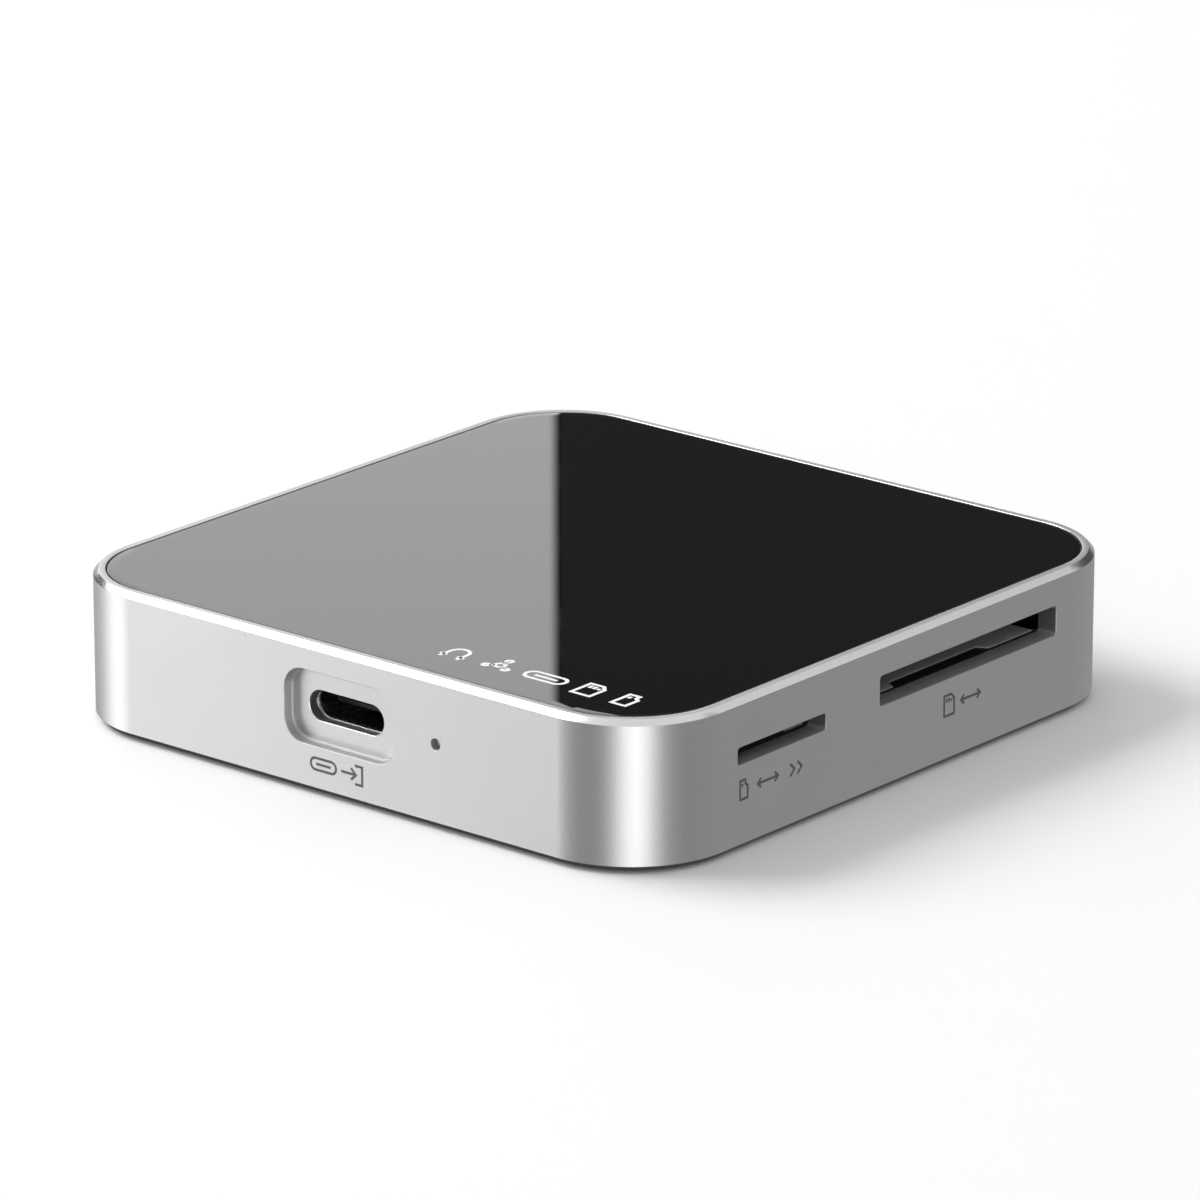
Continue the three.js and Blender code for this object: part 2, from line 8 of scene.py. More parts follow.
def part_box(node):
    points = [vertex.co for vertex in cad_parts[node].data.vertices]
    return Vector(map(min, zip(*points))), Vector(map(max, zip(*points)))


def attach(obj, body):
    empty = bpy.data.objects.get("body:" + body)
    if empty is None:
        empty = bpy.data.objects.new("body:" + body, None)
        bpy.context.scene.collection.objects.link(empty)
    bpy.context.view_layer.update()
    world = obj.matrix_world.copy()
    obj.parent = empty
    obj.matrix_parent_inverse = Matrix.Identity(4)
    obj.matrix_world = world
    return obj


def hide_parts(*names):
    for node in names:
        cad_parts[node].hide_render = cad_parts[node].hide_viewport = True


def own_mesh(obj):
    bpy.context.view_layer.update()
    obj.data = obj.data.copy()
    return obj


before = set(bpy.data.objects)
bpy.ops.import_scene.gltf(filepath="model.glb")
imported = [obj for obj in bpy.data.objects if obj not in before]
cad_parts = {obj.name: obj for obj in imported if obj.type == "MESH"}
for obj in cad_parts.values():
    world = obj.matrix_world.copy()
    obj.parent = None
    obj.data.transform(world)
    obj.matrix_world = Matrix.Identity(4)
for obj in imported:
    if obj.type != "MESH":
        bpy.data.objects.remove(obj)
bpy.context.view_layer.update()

# A square magnetic USB hub, seen on a white table in a studio. Lengths are in millimetres, and MM turns them
# into metres where a mesh is made. Front is -Y, the card slots are on +X, and Z is up from the table.
MM = 0.001


# ---- Camera ------------------------------------------------------------------------------------------------
# A long lens on a tripod three quarters of a metre away, which looks down on the corner between the USB-C
# input and the card slots. The long lens keeps the hub's edges nearly parallel.
camera_azimuth = math.radians(39.95)
camera_elevation = math.radians(18.46)
camera_away = Vector((
    math.sin(camera_azimuth) * math.cos(camera_elevation),
    -math.cos(camera_azimuth) * math.cos(camera_elevation),
    math.sin(camera_elevation),
))
camera_right = Vector((math.cos(camera_azimuth), math.sin(camera_azimuth), 0))
camera_up = camera_away.cross(camera_right)
camera = bpy.data.objects.new("camera", bpy.data.cameras.new("camera"))
bpy.context.scene.collection.objects.link(camera)
camera.data.sensor_width = 36
camera.data.lens = 247.7
camera.data.clip_end = 20
camera.rotation_mode = "QUATERNION"
camera.rotation_quaternion = (-camera_away).to_track_quat("-Z", "Y")
camera.location = (749.9 * camera_away + 0.38 * camera_right + 9.28 * camera_up) * MM
bpy.context.scene.camera = camera
bpy.context.scene.view_settings.view_transform = "Standard"


# ---- Studio ------------------------------------------------------------------------------------------------
# A white matt table under a large overhead light, with a softbox high on the left that casts the shadow. Low
# panels on both sides of the camera and a fill on the right give the metal its bands. A white card stands far
# behind on the left, and shows in the glass with its edge upright.
def srgb(code):
    """A hex colour as the linear colour that a shader takes."""
    parts = [int(code[i : i + 2], 16) / 255 for i in (1, 3, 5)]
    return (*[p / 12.92 if p <= 0.04045 else ((p + 0.055) / 1.055) ** 2.4 for p in parts], 1)


def node(tree, kind, inputs=(), **settings):
    """Adds one shader node with its settings, and fills or links its sockets."""
    made = tree.nodes.new("ShaderNode" + kind)
    for name, value in settings.items():
        setattr(made, name, value)
    for socket, value in dict(inputs).items():
        if isinstance(value, bpy.types.NodeSocket):
            tree.links.new(value, made.inputs[socket])
        else:
            made.inputs[socket].default_value = value
    return made


def emitter(name, centre, facing, width, height, power, soft_edge=0):
    """A flat glowing panel, in metres. Its left and right edges fade out over soft_edge."""
    mesh = bpy.data.meshes.new(name)
    corners = [(x * width / 2, y * height / 2, 0) for x, y in ((-1, -1), (1, -1), (1, 1), (-1, 1))]
    mesh.from_pydata(corners, [], [(0, 1, 2, 3)])
    panel = bpy.data.objects.new(name, mesh)
    bpy.context.scene.collection.objects.link(panel)
    panel.location = centre
    panel.rotation_mode = "QUATERNION"
    panel.rotation_quaternion = Vector(facing).to_track_quat("Z", "Y")
    material = bpy.data.materials.new(name)
    material.use_nodes = True
    tree = material.node_tree
    tree.nodes.clear()
    place = node(tree, "TexCoord")
    across = node(tree, "SeparateXYZ", {0: place.outputs["Object"]})
    from_middle = node(tree, "Math", {0: across.outputs["X"]}, operation="ABSOLUTE")
    fade = node(
        tree,
        "MapRange",
        {"Value": from_middle.outputs[0], 1: width / 2 - soft_edge, 2: width / 2, 3: 1, 4: 0},
        interpolation_type="SMOOTHSTEP",
    )
    front = node(tree, "NewGeometry")
    lit_side = node(tree, "Math", {0: 1, 1: front.outputs["Backfacing"]}, operation="SUBTRACT")
    strength = node(tree, "Math", {0: fade.outputs[0], 1: lit_side.outputs[0]}, operation="MULTIPLY")
    level = node(tree, "Math", {0: strength.outputs[0], 1: power}, operation="MULTIPLY")
    glow = node(tree, "Emission", {"Color": (1, 1, 1, 1), "Strength": level.outputs[0]})
    tree.links.new(glow.outputs[0], node(tree, "OutputMaterial").inputs["Surface"])
    mesh.materials.append(material)
    panel.visible_camera = False


def bearing(azimuth, elevation, distance):
    """The point at that bearing and height angle from the hub, in degrees and metres. Azimuth 0 is +X."""
    a, e = math.radians(azimuth), math.radians(elevation)
    return distance * Vector((math.cos(a) * math.cos(e), math.sin(a) * math.cos(e), math.sin(e)))


table_mesh = bpy.data.meshes.new("table")
table_shape = bmesh.new()
bmesh.ops.create_circle(table_shape, cap_ends=True, radius=4, segments=96)
table_shape.to_mesh(table_mesh)
table_shape.free()
table = bpy.data.objects.new("table", table_mesh)
bpy.context.scene.collection.objects.link(table)
table_paint = bpy.data.materials.new("matt_white_table")
table_paint.use_nodes = True
table_paint.node_tree.nodes["Principled BSDF"].inputs["Base Color"].default_value = srgb("#f8f8f8")
table_paint.node_tree.nodes["Principled BSDF"].inputs["Roughness"].default_value = 0.9
table_paint.node_tree.nodes["Principled BSDF"].inputs["Specular IOR Level"].default_value = 0.1
table_mesh.materials.append(table_paint)
table.visible_glossy = False

# The two low panels stand on both sides of the table's level, and the table doesn't show in reflections, so
# that the walls of the hub mirror plain upright bands.
PANEL_DISTANCE = 1.5
for name, azimuth, elevation, width, height, power, soft_edge in (
    ("left_softbox", -160, 44, 1.2, 0.8, 7.4, 0.25),
    ("low_left_panel", -147, -4, 1.2, 1.5, 2.75, 0.3),
    ("camera_strip", -47, -4, 1.35, 1.5, 3.65, 0.56),
    ("right_fill", 62, 32, 0.7, 0.7, 0.8, 0.3),
):
    place = bearing(azimuth, elevation, PANEL_DISTANCE)
    emitter(name, place, -place, width, height, power, soft_edge)
# The reflected view leaves the glass level with the camera's tilt, so the card's edge is set where it crosses
# that.
CARD_DISTANCE, CARD_SIDE, CARD_EDGE, CARD_HEIGHT = 1.6, 0.9, -0.011, 0.62
card_facing = Vector((math.sin(camera_azimuth), -math.cos(camera_azimuth), 0))
card_middle = (
    -card_facing * CARD_DISTANCE + camera_right * (CARD_EDGE - CARD_SIDE / 2) + Vector((0, 0, CARD_HEIGHT))
)
emitter("rear_card", card_middle, card_facing, CARD_SIDE, CARD_SIDE, 1.7, soft_edge=0.004)

world = bpy.data.worlds.new("studio")
bpy.context.scene.world = world
world.use_nodes = True
world_tree = world.node_tree
world_tree.nodes.clear()
# The sky brightens overhead, is nearly dark at the glass's mirror angle, and has a pale band below the
# horizon in place of the floor that reflections don't show.
direction = node(world_tree, "SeparateXYZ", {0: node(world_tree, "TexCoord").outputs["Generated"]})
height = direction.outputs["Z"]
overhead = node(
    world_tree,
    "MapRange",
    {"Value": height, 1: 0.4, 2: 0.66, 3: 0.06, 4: 0.72},
    interpolation_type="SMOOTHSTEP",
)
below = node(world_tree, "MapRange", {"Value": height, 1: -0.02, 2: 0.08, 3: 0.48, 4: 0.06})
dark_floor = node(world_tree, "MapRange", {"Value": height, 1: -0.6, 2: -0.42, 3: 0, 4: 1})
low_band = node(world_tree, "Math", {0: below.outputs[0], 1: dark_floor.outputs[0]}, operation="MULTIPLY")
level = node(world_tree, "Math", {0: overhead.outputs[0], 1: low_band.outputs[0]}, operation="MAXIMUM")
sky = node(world_tree, "Background", {"Color": (1, 1, 1, 1), "Strength": level.outputs[0]})
world_tree.links.new(sky.outputs[0], node(world_tree, "OutputWorld").inputs["Surface"])


# ---- Aluminium frame ---------------------------------------------------------------------------------------
# The body is milled from one block of aluminium: a square ring with 2 mm walls, a ledge for the glass and
# four screw bosses. It is bead blasted and clear anodised, then the top chamfer is cut bright and the port
# marks are lasered.
frame_low, frame_high = (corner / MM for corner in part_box("housing"))
SIDE = frame_high.x - frame_low.x
TOP = frame_high.z
BASE = frame_low.z
CORNER = 10
ARC_STEPS = 24
TURN = {"front": 0, "right": 90, "back": 180, "left": -90}


def on_face(face, u, depth, z):
    """A point at one of the sides: u to the right as seen from outside, and depth inwards from the face."""
    return Matrix.Rotation(math.radians(TURN[face]), 3, "Z") @ Vector((u, depth - SIDE / 2, z))


def outline(width, height, radius, steps=ARC_STEPS, centre=(0, 0)):
    """The points of a rectangle with round corners, anticlockwise."""
    points = []
    for quarter, (x, y) in enumerate(((1, 1), (-1, 1), (-1, -1), (1, -1))):
        for step in range(steps + 1):
            angle = (quarter + step / steps) * math.pi / 2
            points.append((
                centre[0] + x * (width / 2 - radius) + radius * math.cos(angle),
                centre[1] + y * (height / 2 - radius) + radius * math.sin(angle),
            ))
    return points


def filleted(points, radius, steps=4, closed=True):
    """Rounds the corners of a line of 2D points. radius is one number, or one for each point."""
    radii = radius if isinstance(radius, (list, tuple)) else [radius] * len(points)
    made = []
    for i, corner in enumerate(map(Vector, points)):
        if radii[i] == 0 or (not closed and i in (0, len(points) - 1)):
            made.append(tuple(corner))
            continue
        before = (Vector(points[i - 1]) - corner).normalized()
        after = (Vector(points[(i + 1) % len(points)]) - corner).normalized()
        half = before.angle(after) / 2
        centre = corner + (before + after).normalized() * radii[i] / math.sin(half)
        start = corner + before * radii[i] / math.tan(half) - centre
        turn = -start.angle_signed(corner + after * radii[i] / math.tan(half) - centre)
        for step in range(steps + 1):
            made.append(tuple(centre + Matrix.Rotation(turn * step / steps, 2) @ start))
    return made


def lofted(name, rings, closed=False):
    """A solid skinned over rings of 3D points in mm. Its ends are capped, or joined together if closed."""
    shape = bmesh.new()
    loops = [[shape.verts.new(Vector(point) * MM) for point in ring] for ring in rings]
    around = len(loops[0])
    for i in range(len(loops) if closed else len(loops) - 1):
        here, there = loops[i], loops[(i + 1) % len(loops)]
        for j in range(around):
            k = (j + 1) % around
            shape.faces.new((here[j], here[k], there[k], there[j]))
    if not closed:
        shape.faces.new(reversed(loops[0]))
        shape.faces.new(loops[-1])
    bmesh.ops.remove_doubles(shape, verts=shape.verts, dist=1e-7)
    bmesh.ops.recalc_face_normals(shape, faces=shape.faces)
    mesh = bpy.data.meshes.new(name)
    shape.to_mesh(mesh)
    shape.free()
    made = bpy.data.objects.new(name, mesh)
    bpy.context.scene.collection.objects.link(made)
    return made


def stacked(name, profile, side, corner, closed=False, centre=(0, 0)):
    """A piece with a rounded square plan, from a profile of (inset, height) points."""
    rings = [
        [(x, y, z) for x, y in outline(side - 2 * inset, side - 2 * inset, corner - inset, centre=centre)]
        for inset, z in profile
    ]
    return lofted(name, rings, closed)


def plug(name, face, profile, width, height, radius, u, z, steps=10, closed=False):
    """A piece with a rounded outline that goes into a side face, from a profile of (growth, depth) points."""
    rings = [
        [
            on_face(face, a, depth, b)
            for a, b in outline(width + 2 * growth, height + 2 * growth, radius + growth, steps, (u, z))
        ]
        for growth, depth in profile
    ]
    return lofted(name, rings, closed)


def combined(body, tools, operation):
    """Cuts the tools from the body, or joins them to it, and removes them."""
    for tool in tools:
        step = body.modifiers.new("combine", "BOOLEAN")
        step.object = tool
        step.operation = operation
        step.solver = "EXACT"
        step.material_mode = "TRANSFER"
    settled = body.evaluated_get(bpy.context.evaluated_depsgraph_get())
    made = bpy.data.meshes.new_from_object(settled)
    body.modifiers.clear()
    body.data = made
    for tool in tools:
        bpy.data.objects.remove(tool)
    return body


def shaded(piece, angle=32):
    """Smooth shading that breaks at edges sharper than the angle, and stays flat on flat faces."""
    piece.data.shade_smooth()
    piece.data.set_sharp_from_angle(angle=math.radians(angle))
    even = piece.modifiers.new("flat faces", "WEIGHTED_NORMAL")
    even.keep_sharp = True
    return piece


def surface(name, **settings):
    """A new material, its tree and its shader, with the sockets that are the same all over already set."""
    material = bpy.data.materials.new(name)
    material.use_nodes = True
    tree = material.node_tree
    shader = tree.nodes["Principled BSDF"]
    for socket, value in settings.items():
        shader.inputs[socket.replace("_", " ")].default_value = value
    return material, tree, shader


# Bead-blasted anodised aluminium: a bright satin metal with a fine even sparkle. The beads leave dimples of
# about 0.1 mm, drawn here at twice that so that they show.
blasted_aluminium, tree, shader = surface("bead_blasted_anodised_aluminium", Metallic=1)
dimple_mm = 0.2
place = node(tree, "TexCoord")
dimples = node(
    tree,
    "TexNoise",
    {"Vector": place.outputs["Object"], "Scale": 1 / (dimple_mm * MM), "Detail": 3, "Roughness": 0.6},
)
cloud = node(tree, "TexNoise", {"Vector": place.outputs["Object"], "Scale": 1 / (9 * MM), "Detail": 2})
spread = node(tree, "Math", {0: dimples.outputs["Fac"], 1: 0.06, 2: 0.39}, operation="MULTIPLY_ADD")
haze = node(tree, "Math", {0: cloud.outputs["Fac"], 1: 0.04, 2: spread.outputs[0]}, operation="MULTIPLY_ADD")
tone = node(tree, "Mix", {"Factor": dimples.outputs["Fac"]}, data_type="RGBA")
tone.inputs["A"].default_value = srgb("#c5c5c5")
tone.inputs["B"].default_value = srgb("#d7d7d7")
relief = node(tree, "Bump", {"Height": dimples.outputs["Fac"], "Strength": 0.12, "Distance": 0.02 * MM})
tree.links.new(tone.outputs["Result"], shader.inputs["Base Color"])
tree.links.new(haze.outputs[0], shader.inputs["Roughness"])
tree.links.new(relief.outputs[0], shader.inputs["Normal"])

# Diamond-cut aluminium: the chamfer is cut bright after blasting, so it mirrors the lights in one clean line.
cut_aluminium, tree, shader = surface("diamond_cut_aluminium", Metallic=1)
feed = node(
    tree,
    "TexNoise",
    {"Vector": node(tree, "TexCoord").outputs["Object"], "Scale": 1 / (0.5 * MM), "Detail": 2},
)
glint = node(tree, "Math", {0: feed.outputs["Fac"], 1: 0.05, 2: 0.2}, operation="MULTIPLY_ADD")
tree.links.new(glint.outputs[0], shader.inputs["Roughness"])
shader.inputs["Base Color"].default_value = srgb("#f0f0f0")

# Laser-marked aluminium: the laser roughens and darkens the oxide to a matt grey a few hundredths deep.
laser_mark, tree, shader = surface("laser_marked_aluminium", Metallic=0.4)
scan = node(
    tree,
    "TexNoise",
    {"Vector": node(tree, "TexCoord").outputs["Object"], "Scale": 1 / (0.12 * MM), "Detail": 2},
)
scorch = node(tree, "Mix", {"Factor": scan.outputs["Fac"]}, data_type="RGBA")
scorch.inputs["A"].default_value = srgb("#5c5c5e")
scorch.inputs["B"].default_value = srgb("#7a7a7c")
tree.links.new(scorch.outputs["Result"], shader.inputs["Base Color"])
shader.inputs["Roughness"].default_value = 0.7

# Milled aluminium with painted shade: inside the ports the beads hardly reach, so the walls keep the cutter's
# finish, a little rougher. Their darker, partly metallic grey is painted shade in the recesses.
milled_and_shaded_aluminium, tree, shader = surface("milled_port_aluminium_with_painted_shade", Metallic=0.55)
cut_marks = node(
    tree,
    "TexNoise",
    {"Vector": node(tree, "TexCoord").outputs["Object"], "Scale": 1 / (0.3 * MM), "Detail": 3},
)
dulled = node(tree, "Math", {0: cut_marks.outputs["Fac"], 1: 0.08, 2: 0.46}, operation="MULTIPLY_ADD")
tree.links.new(dulled.outputs[0], shader.inputs["Roughness"])
# This darker grey is painted shade for the walls inside the ports.
shader.inputs["Base Color"].default_value = srgb("#b0b0b1")

WALL = 2
CHAMFER = 0.5
GLASS_POCKET = 1.15
LEDGE = {"top": 12.75, "bottom": 11.55, "inset": 4.8}
COVER_REBATE = {"inset": 1.2, "top": 1.6}
section = [
    (CHAMFER, BASE),
    (0, BASE + CHAMFER),
    (0, TOP - CHAMFER),
    (CHAMFER, TOP),
    (GLASS_POCKET, TOP),
    (GLASS_POCKET, LEDGE["top"]),
    (LEDGE["inset"], LEDGE["top"]),
    (LEDGE["inset"], LEDGE["bottom"]),
    (WALL, LEDGE["bottom"]),
    (WALL, COVER_REBATE["top"]),
    (COVER_REBATE["inset"], COVER_REBATE["top"]),
    (COVER_REBATE["inset"], BASE),
]
edge_breaks = [0.06, 0.08, 0.05, 0.05, 0.05, 0.1, 0.1, 0.1, 0.3, 0.1, 0.1, 0.05]
housing = stacked("frame_body", filleted(section, edge_breaks, 3), SIDE, CORNER, closed=True)
housing.data.materials.append(blasted_aluminium)
housing.data.materials.append(cut_aluminium)
for face in housing.data.polygons:
    if face.center.z > (TOP - CHAMFER) * MM and 0.3 < face.normal.z < 0.95:
        face.material_index = 1

BOSS = {"at": 28.9, "side": 7, "corner": 2.5, "bottom": 7.95}
SCREW_AT = 28.4
corner_signs = {"front_left": (-1, -1), "front_right": (1, -1), "rear_right": (1, 1), "rear_left": (-1, 1)}


def upright(name, radius, profile, at, segments=40):
    """A turned piece that stands along Z, from a profile of (growth, height) points."""
    rings = []
    for growth, z in profile:
        angles = [2 * math.pi * k / segments for k in range(segments)]
        rings.append([
            (at[0] + (radius + growth) * math.cos(a), at[1] + (radius + growth) * math.sin(a), z)
            for a in angles
        ])
    return lofted(name, rings)


bosses = [
    stacked(
        "boss",
        [(0, BOSS["bottom"]), (0, LEDGE["bottom"] + 0.1)],
        BOSS["side"],
        BOSS["corner"],
        centre=(x * BOSS["at"], y * BOSS["at"]),
    )
    for x, y in corner_signs.values()
]
TAPPED = {"radius": 0.8, "flare": 0.15, "end": 11}
tapped_profile = [
    (TAPPED["flare"], BOSS["bottom"] - 0.05),
    (TAPPED["flare"], BOSS["bottom"]),
    (0, BOSS["bottom"] + TAPPED["flare"]),
    (0, TAPPED["end"]),
]
tapped_holes = [
    upright("tapped_hole", TAPPED["radius"], tapped_profile, (x * SCREW_AT, y * SCREW_AT), 24)
    for x, y in corner_signs.values()
]

# Each port is cut with a tool of its own shape, whose flare breaks the outer edge. The walls of the USB-C
# recesses and the light hole, and the long walls of the card slots, carry the milled finish with painted
# shade.
EDGE_BREAK = 0.05
through = [(EDGE_BREAK, -1), (EDGE_BREAK, 0), (0, EDGE_BREAK), (0, 3)]
USB_C = {"z": 8.05, "recess": (12.8, 6.9, 2.2), "depth": 1.05, "cove": 0.4, "mouth": (8.7, 2.85, 1.424)}
recess_profile = filleted(
    [(EDGE_BREAK, -1), (EDGE_BREAK, 0), (0, EDGE_BREAK), (0, USB_C["depth"]), (-1, USB_C["depth"])],
    [0, 0, 0, USB_C["cove"], 0],
    6,
    closed=False,
)
mouth_profile = [(0.05, 0.5), (0.05, USB_C["depth"]), (0, USB_C["depth"] + 0.05), (0, 3)]
port_tools = []
for face in ("front", "back"):
    port_tools.append(plug("usb_c_recess", face, recess_profile, *USB_C["recess"], 0, USB_C["z"], 14))
    port_tools.append(plug("usb_c_mouth", face, mouth_profile, *USB_C["mouth"], 0, USB_C["z"], 14))
USB_A = {"z": 7.75, "at": (-12, 12), "opening": (13.3, 5.9, 0.7)}
for u in USB_A["at"]:
    port_tools.append(plug("usb_a_opening", "left", through, *USB_A["opening"], u, USB_A["z"]))
SD_SLOT = {"u": 9.85, "z": 9.56, "opening": (25.6, 2.8, 0.35)}
MICRO_SD_SLOT = {"u": -16.66, "z": 8.85, "opening": (12.15, 1.58, 0.3)}
for slot in (SD_SLOT, MICRO_SD_SLOT):
    port_tools.append(plug("card_slot", "right", through, *slot["opening"], slot["u"], slot["z"], 6))
LIGHT_HOLE = {"u": 11.2, "z": 7.94, "radius": 0.525}
light_hole = (2 * LIGHT_HOLE["radius"], 2 * LIGHT_HOLE["radius"], LIGHT_HOLE["radius"] - 0.001)
light_profile = [(0.05, -1), (0.05, 0), (0, 0.05), (0, 3)]
port_tools.append(
    plug("light_hole", "front", light_profile, *light_hole, LIGHT_HOLE["u"], LIGHT_HOLE["z"], 8)
)
for tool in [*bosses, *tapped_holes, *port_tools]:
    tool.data.materials.append(blasted_aluminium)
    tool.data.materials.append(milled_and_shaded_aluminium)
    # Facets that don't face straight out of the side get the milled material, whose darker grey is painted
    # shade.
    for facet in tool.data.polygons:
        if tool.name.startswith(("usb_c_recess", "light_hole", "card_slot")) and abs(facet.normal.y) < 0.97:
            facet.material_index = 1


def stroke(name, line, width, place, levels, closed=False):
    """A line of even width through 2D points, given a thickness. place puts (a, b, level) in the world."""
    points = [Vector(p) for p in line]
    count = len(points)
    rings = []
    for i, point in enumerate(points):
        before = points[i] - points[i - 1] if closed or i > 0 else points[1] - points[0]
        after = points[(i + 1) % count] - point if closed or i < count - 1 else before
        along = (before.normalized() + after.normalized()).normalized()
        side = Vector((-along.y, along.x)) * width / 2 / max(0.4, along.dot(before.normalized()))
        rings.append([
            place(*(point + side), levels[0]),
            place(*(point - side), levels[0]),
            place(*(point - side), levels[1]),
            place(*(point + side), levels[1]),
        ])
    return lofted(name, rings, closed)


def arc(centre, radius, start, end, steps=12):
    """Points of an arc, with its angles in degrees."""
    angles = [math.radians(start + (end - start) * k / steps) for k in range(steps + 1)]
    return [(centre[0] + radius * math.cos(a), centre[1] + radius * math.sin(a)) for a in angles]


# Pictograms, drawn in units of their own height: each is a list of (points, closed).
ARROW_IN = [
    ([(0.1, 0.45), (0.55, 0.45), (0.55, -0.45), (0.1, -0.45)], False),
    ([(-0.75, 0), (0.18, 0)], False),
    ([(-0.14, 0.28), (0.16, 0), (-0.14, -0.28)], False),
]
STADIUM = [
    (arc((0.55, 0), 0.32, -90, 90) + arc((-0.55, 0), 0.32, 90, 270), True),
    ([(-0.5, 0), (0.5, 0)], False),
]
CARD = [
    ([(-0.38, 0.5), (0.16, 0.5), (0.38, 0.26), (0.38, -0.5), (-0.38, -0.5)], True),
    ([(-0.18, 0.36), (-0.18, 0.14)], False),
    ([(0, 0.36), (0, 0.14)], False),
    ([(0.18, 0.28), (0.18, 0.14)], False),
]
SMALL_CARD = [
    ([(-0.3, 0.5), (0.12, 0.5), (0.12, 0.3), (0.3, 0.16), (0.3, -0.5), (-0.3, -0.5)], True),
    ([(-0.12, 0.34), (-0.12, 0.16)], False),
]
CHEVRON = [([(-0.2, 0.36), (0.16, 0), (-0.2, -0.36)], False)]
BOTH_WAYS = [
    ([(-0.8, 0), (0.8, 0)], False),
    ([(-0.55, 0.25), (-0.82, 0), (-0.55, -0.25)], False),
    ([(0.55, 0.25), (0.82, 0), (0.55, -0.25)], False),
]


def pictogram(name, drawing, centre, height, width, place, levels):
    """One pictogram's strokes, each a solid of its own."""
    return [
        stroke(
            name,
            [(centre[0] + height * a, centre[1] + height * b) for a, b in line],
            width,
            place,
            levels,
            closed,
        )
        for line, closed in drawing
    ]


def etched(face, drawing, u, z, height, width=0.25):
    """The tools that sink a pictogram 0.03 mm into a side face."""
    place = lambda a, b, depth: on_face(face, a, depth, b)
    tools = pictogram("etching", drawing, (u, z), height, width, place, (-0.2, 0.03))
    for tool in tools:
        tool.data.materials.append(laser_mark)
    return tools


etchings = [
    *etched("front", STADIUM, -1.85, 3.0, 1.7),
    *etched("front", ARROW_IN, 1.65, 3.0, 1.9),
    *etched("right", SMALL_CARD, -21.9, 5.7, 1.7),
    *etched("right", BOTH_WAYS, -18.6, 5.7, 1.7),
    *etched("right", CHEVRON, -15.2, 5.7, 1.6),
    *etched("right", CHEVRON, -14.2, 5.7, 1.6),
    *etched("right", CARD, 7.0, 5.7, 1.9),
    *etched("right", BOTH_WAYS, 10.1, 5.7, 1.7),
]
combined(housing, bosses, "UNION")
combined(housing, [*tapped_holes, *port_tools, *etchings], "DIFFERENCE")
shaded(housing)
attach(housing, "hub")
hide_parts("housing")


# ---- Glass top ---------------------------------------------------------------------------------------------
# A pane of 1 mm soda-lime glass, ground round its edge and polished. Its underside is printed solid black, so
# the top looks like a black mirror. White pictograms are screen printed near the front right corner.
cover_glass, tree, shader = surface(
    "back_printed_cover_glass", Base_Color=srgb("#0a0a0a"), IOR=1.5, Specular_IOR_Level=0.5
)
wipe = node(
    tree,
    "TexNoise",
    {"Vector": node(tree, "TexCoord").outputs["Object"], "Scale": 1 / (14 * MM), "Detail": 4},
)
film = node(tree, "MapRange", {"Value": wipe.outputs["Fac"], 1: 0.45, 2: 0.8, 3: 0.012, 4: 0.03})
tree.links.new(film.outputs[0], shader.inputs["Roughness"])

glass_low, glass_high = (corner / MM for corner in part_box("top_glass"))
glass_side = glass_high.x - glass_low.x
glass_corner = CORNER - (SIDE - glass_side) / 2
glass_section = [(1, glass_low.z), (0, glass_low.z), (0, glass_high.z), (1, glass_high.z)]
glass = stacked(
    "glass_top", filleted(glass_section, [0, 0.1, 0.14, 0], 4, closed=False), glass_side, glass_corner
)
glass.data.materials.append(cover_glass)
shaded(glass)
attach(glass, "hub")
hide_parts("top_glass")

# White screen ink: an opaque enamel film a hundredth thick, slightly rough at its edges.
white_ink, tree, shader = surface("screen_printed_white_ink", Roughness=0.45)
mesh_marks = node(
    tree,
    "TexNoise",
    {"Vector": node(tree, "TexCoord").outputs["Object"], "Scale": 1 / (0.15 * MM), "Detail": 2},
)
ink = node(tree, "Mix", {"Factor": mesh_marks.outputs["Fac"]}, data_type="RGBA")
ink.inputs["A"].default_value = srgb("#f2f2f2")
ink.inputs["B"].default_value = srgb("#ffffff")
tree.links.new(ink.outputs["Result"], shader.inputs["Base Color"])

MAGNET = [
    ([(-0.36, -0.5), *arc((0, 0.08), 0.36, 180, 0), (0.36, -0.5)], False),
    ([(-0.52, -0.26), (-0.2, -0.26)], False),
    ([(0.2, -0.26), (0.52, -0.26)], False),
]
spokes = [Vector((math.cos(a), math.sin(a))) for a in map(math.radians, (90, 210, 330))]
BRANCHES = [
    (arc((0, 0), 0.17, 0, 330, 11), True),
    *[(arc(0.44 * spoke, 0.1, 0, 330, 11), True) for spoke in spokes],
    *[([tuple(0.17 * spoke), tuple(0.34 * spoke)], False) for spoke in spokes],
]
print_levels = (glass_high.z - 0.005, glass_high.z + 0.012)
flat_on_top = lambda a, b, level: Vector((a, b, level))
prints = [
    piece
    for drawing, x, height in (
        (MAGNET, 8.3, 2.7),
        (BRANCHES, 13.2, 2.9),
        (STADIUM, 18.4, 2.5),
        (CARD, 23.4, 2.7),
        (SMALL_CARD, 27.6, 2.6),
    )
    for piece in pictogram("printed_pictogram", drawing, (x, -28.65), height, 0.36, flat_on_top, print_levels)
]
for mark in prints:
    mark.data.materials.append(white_ink)
    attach(mark, "hub")


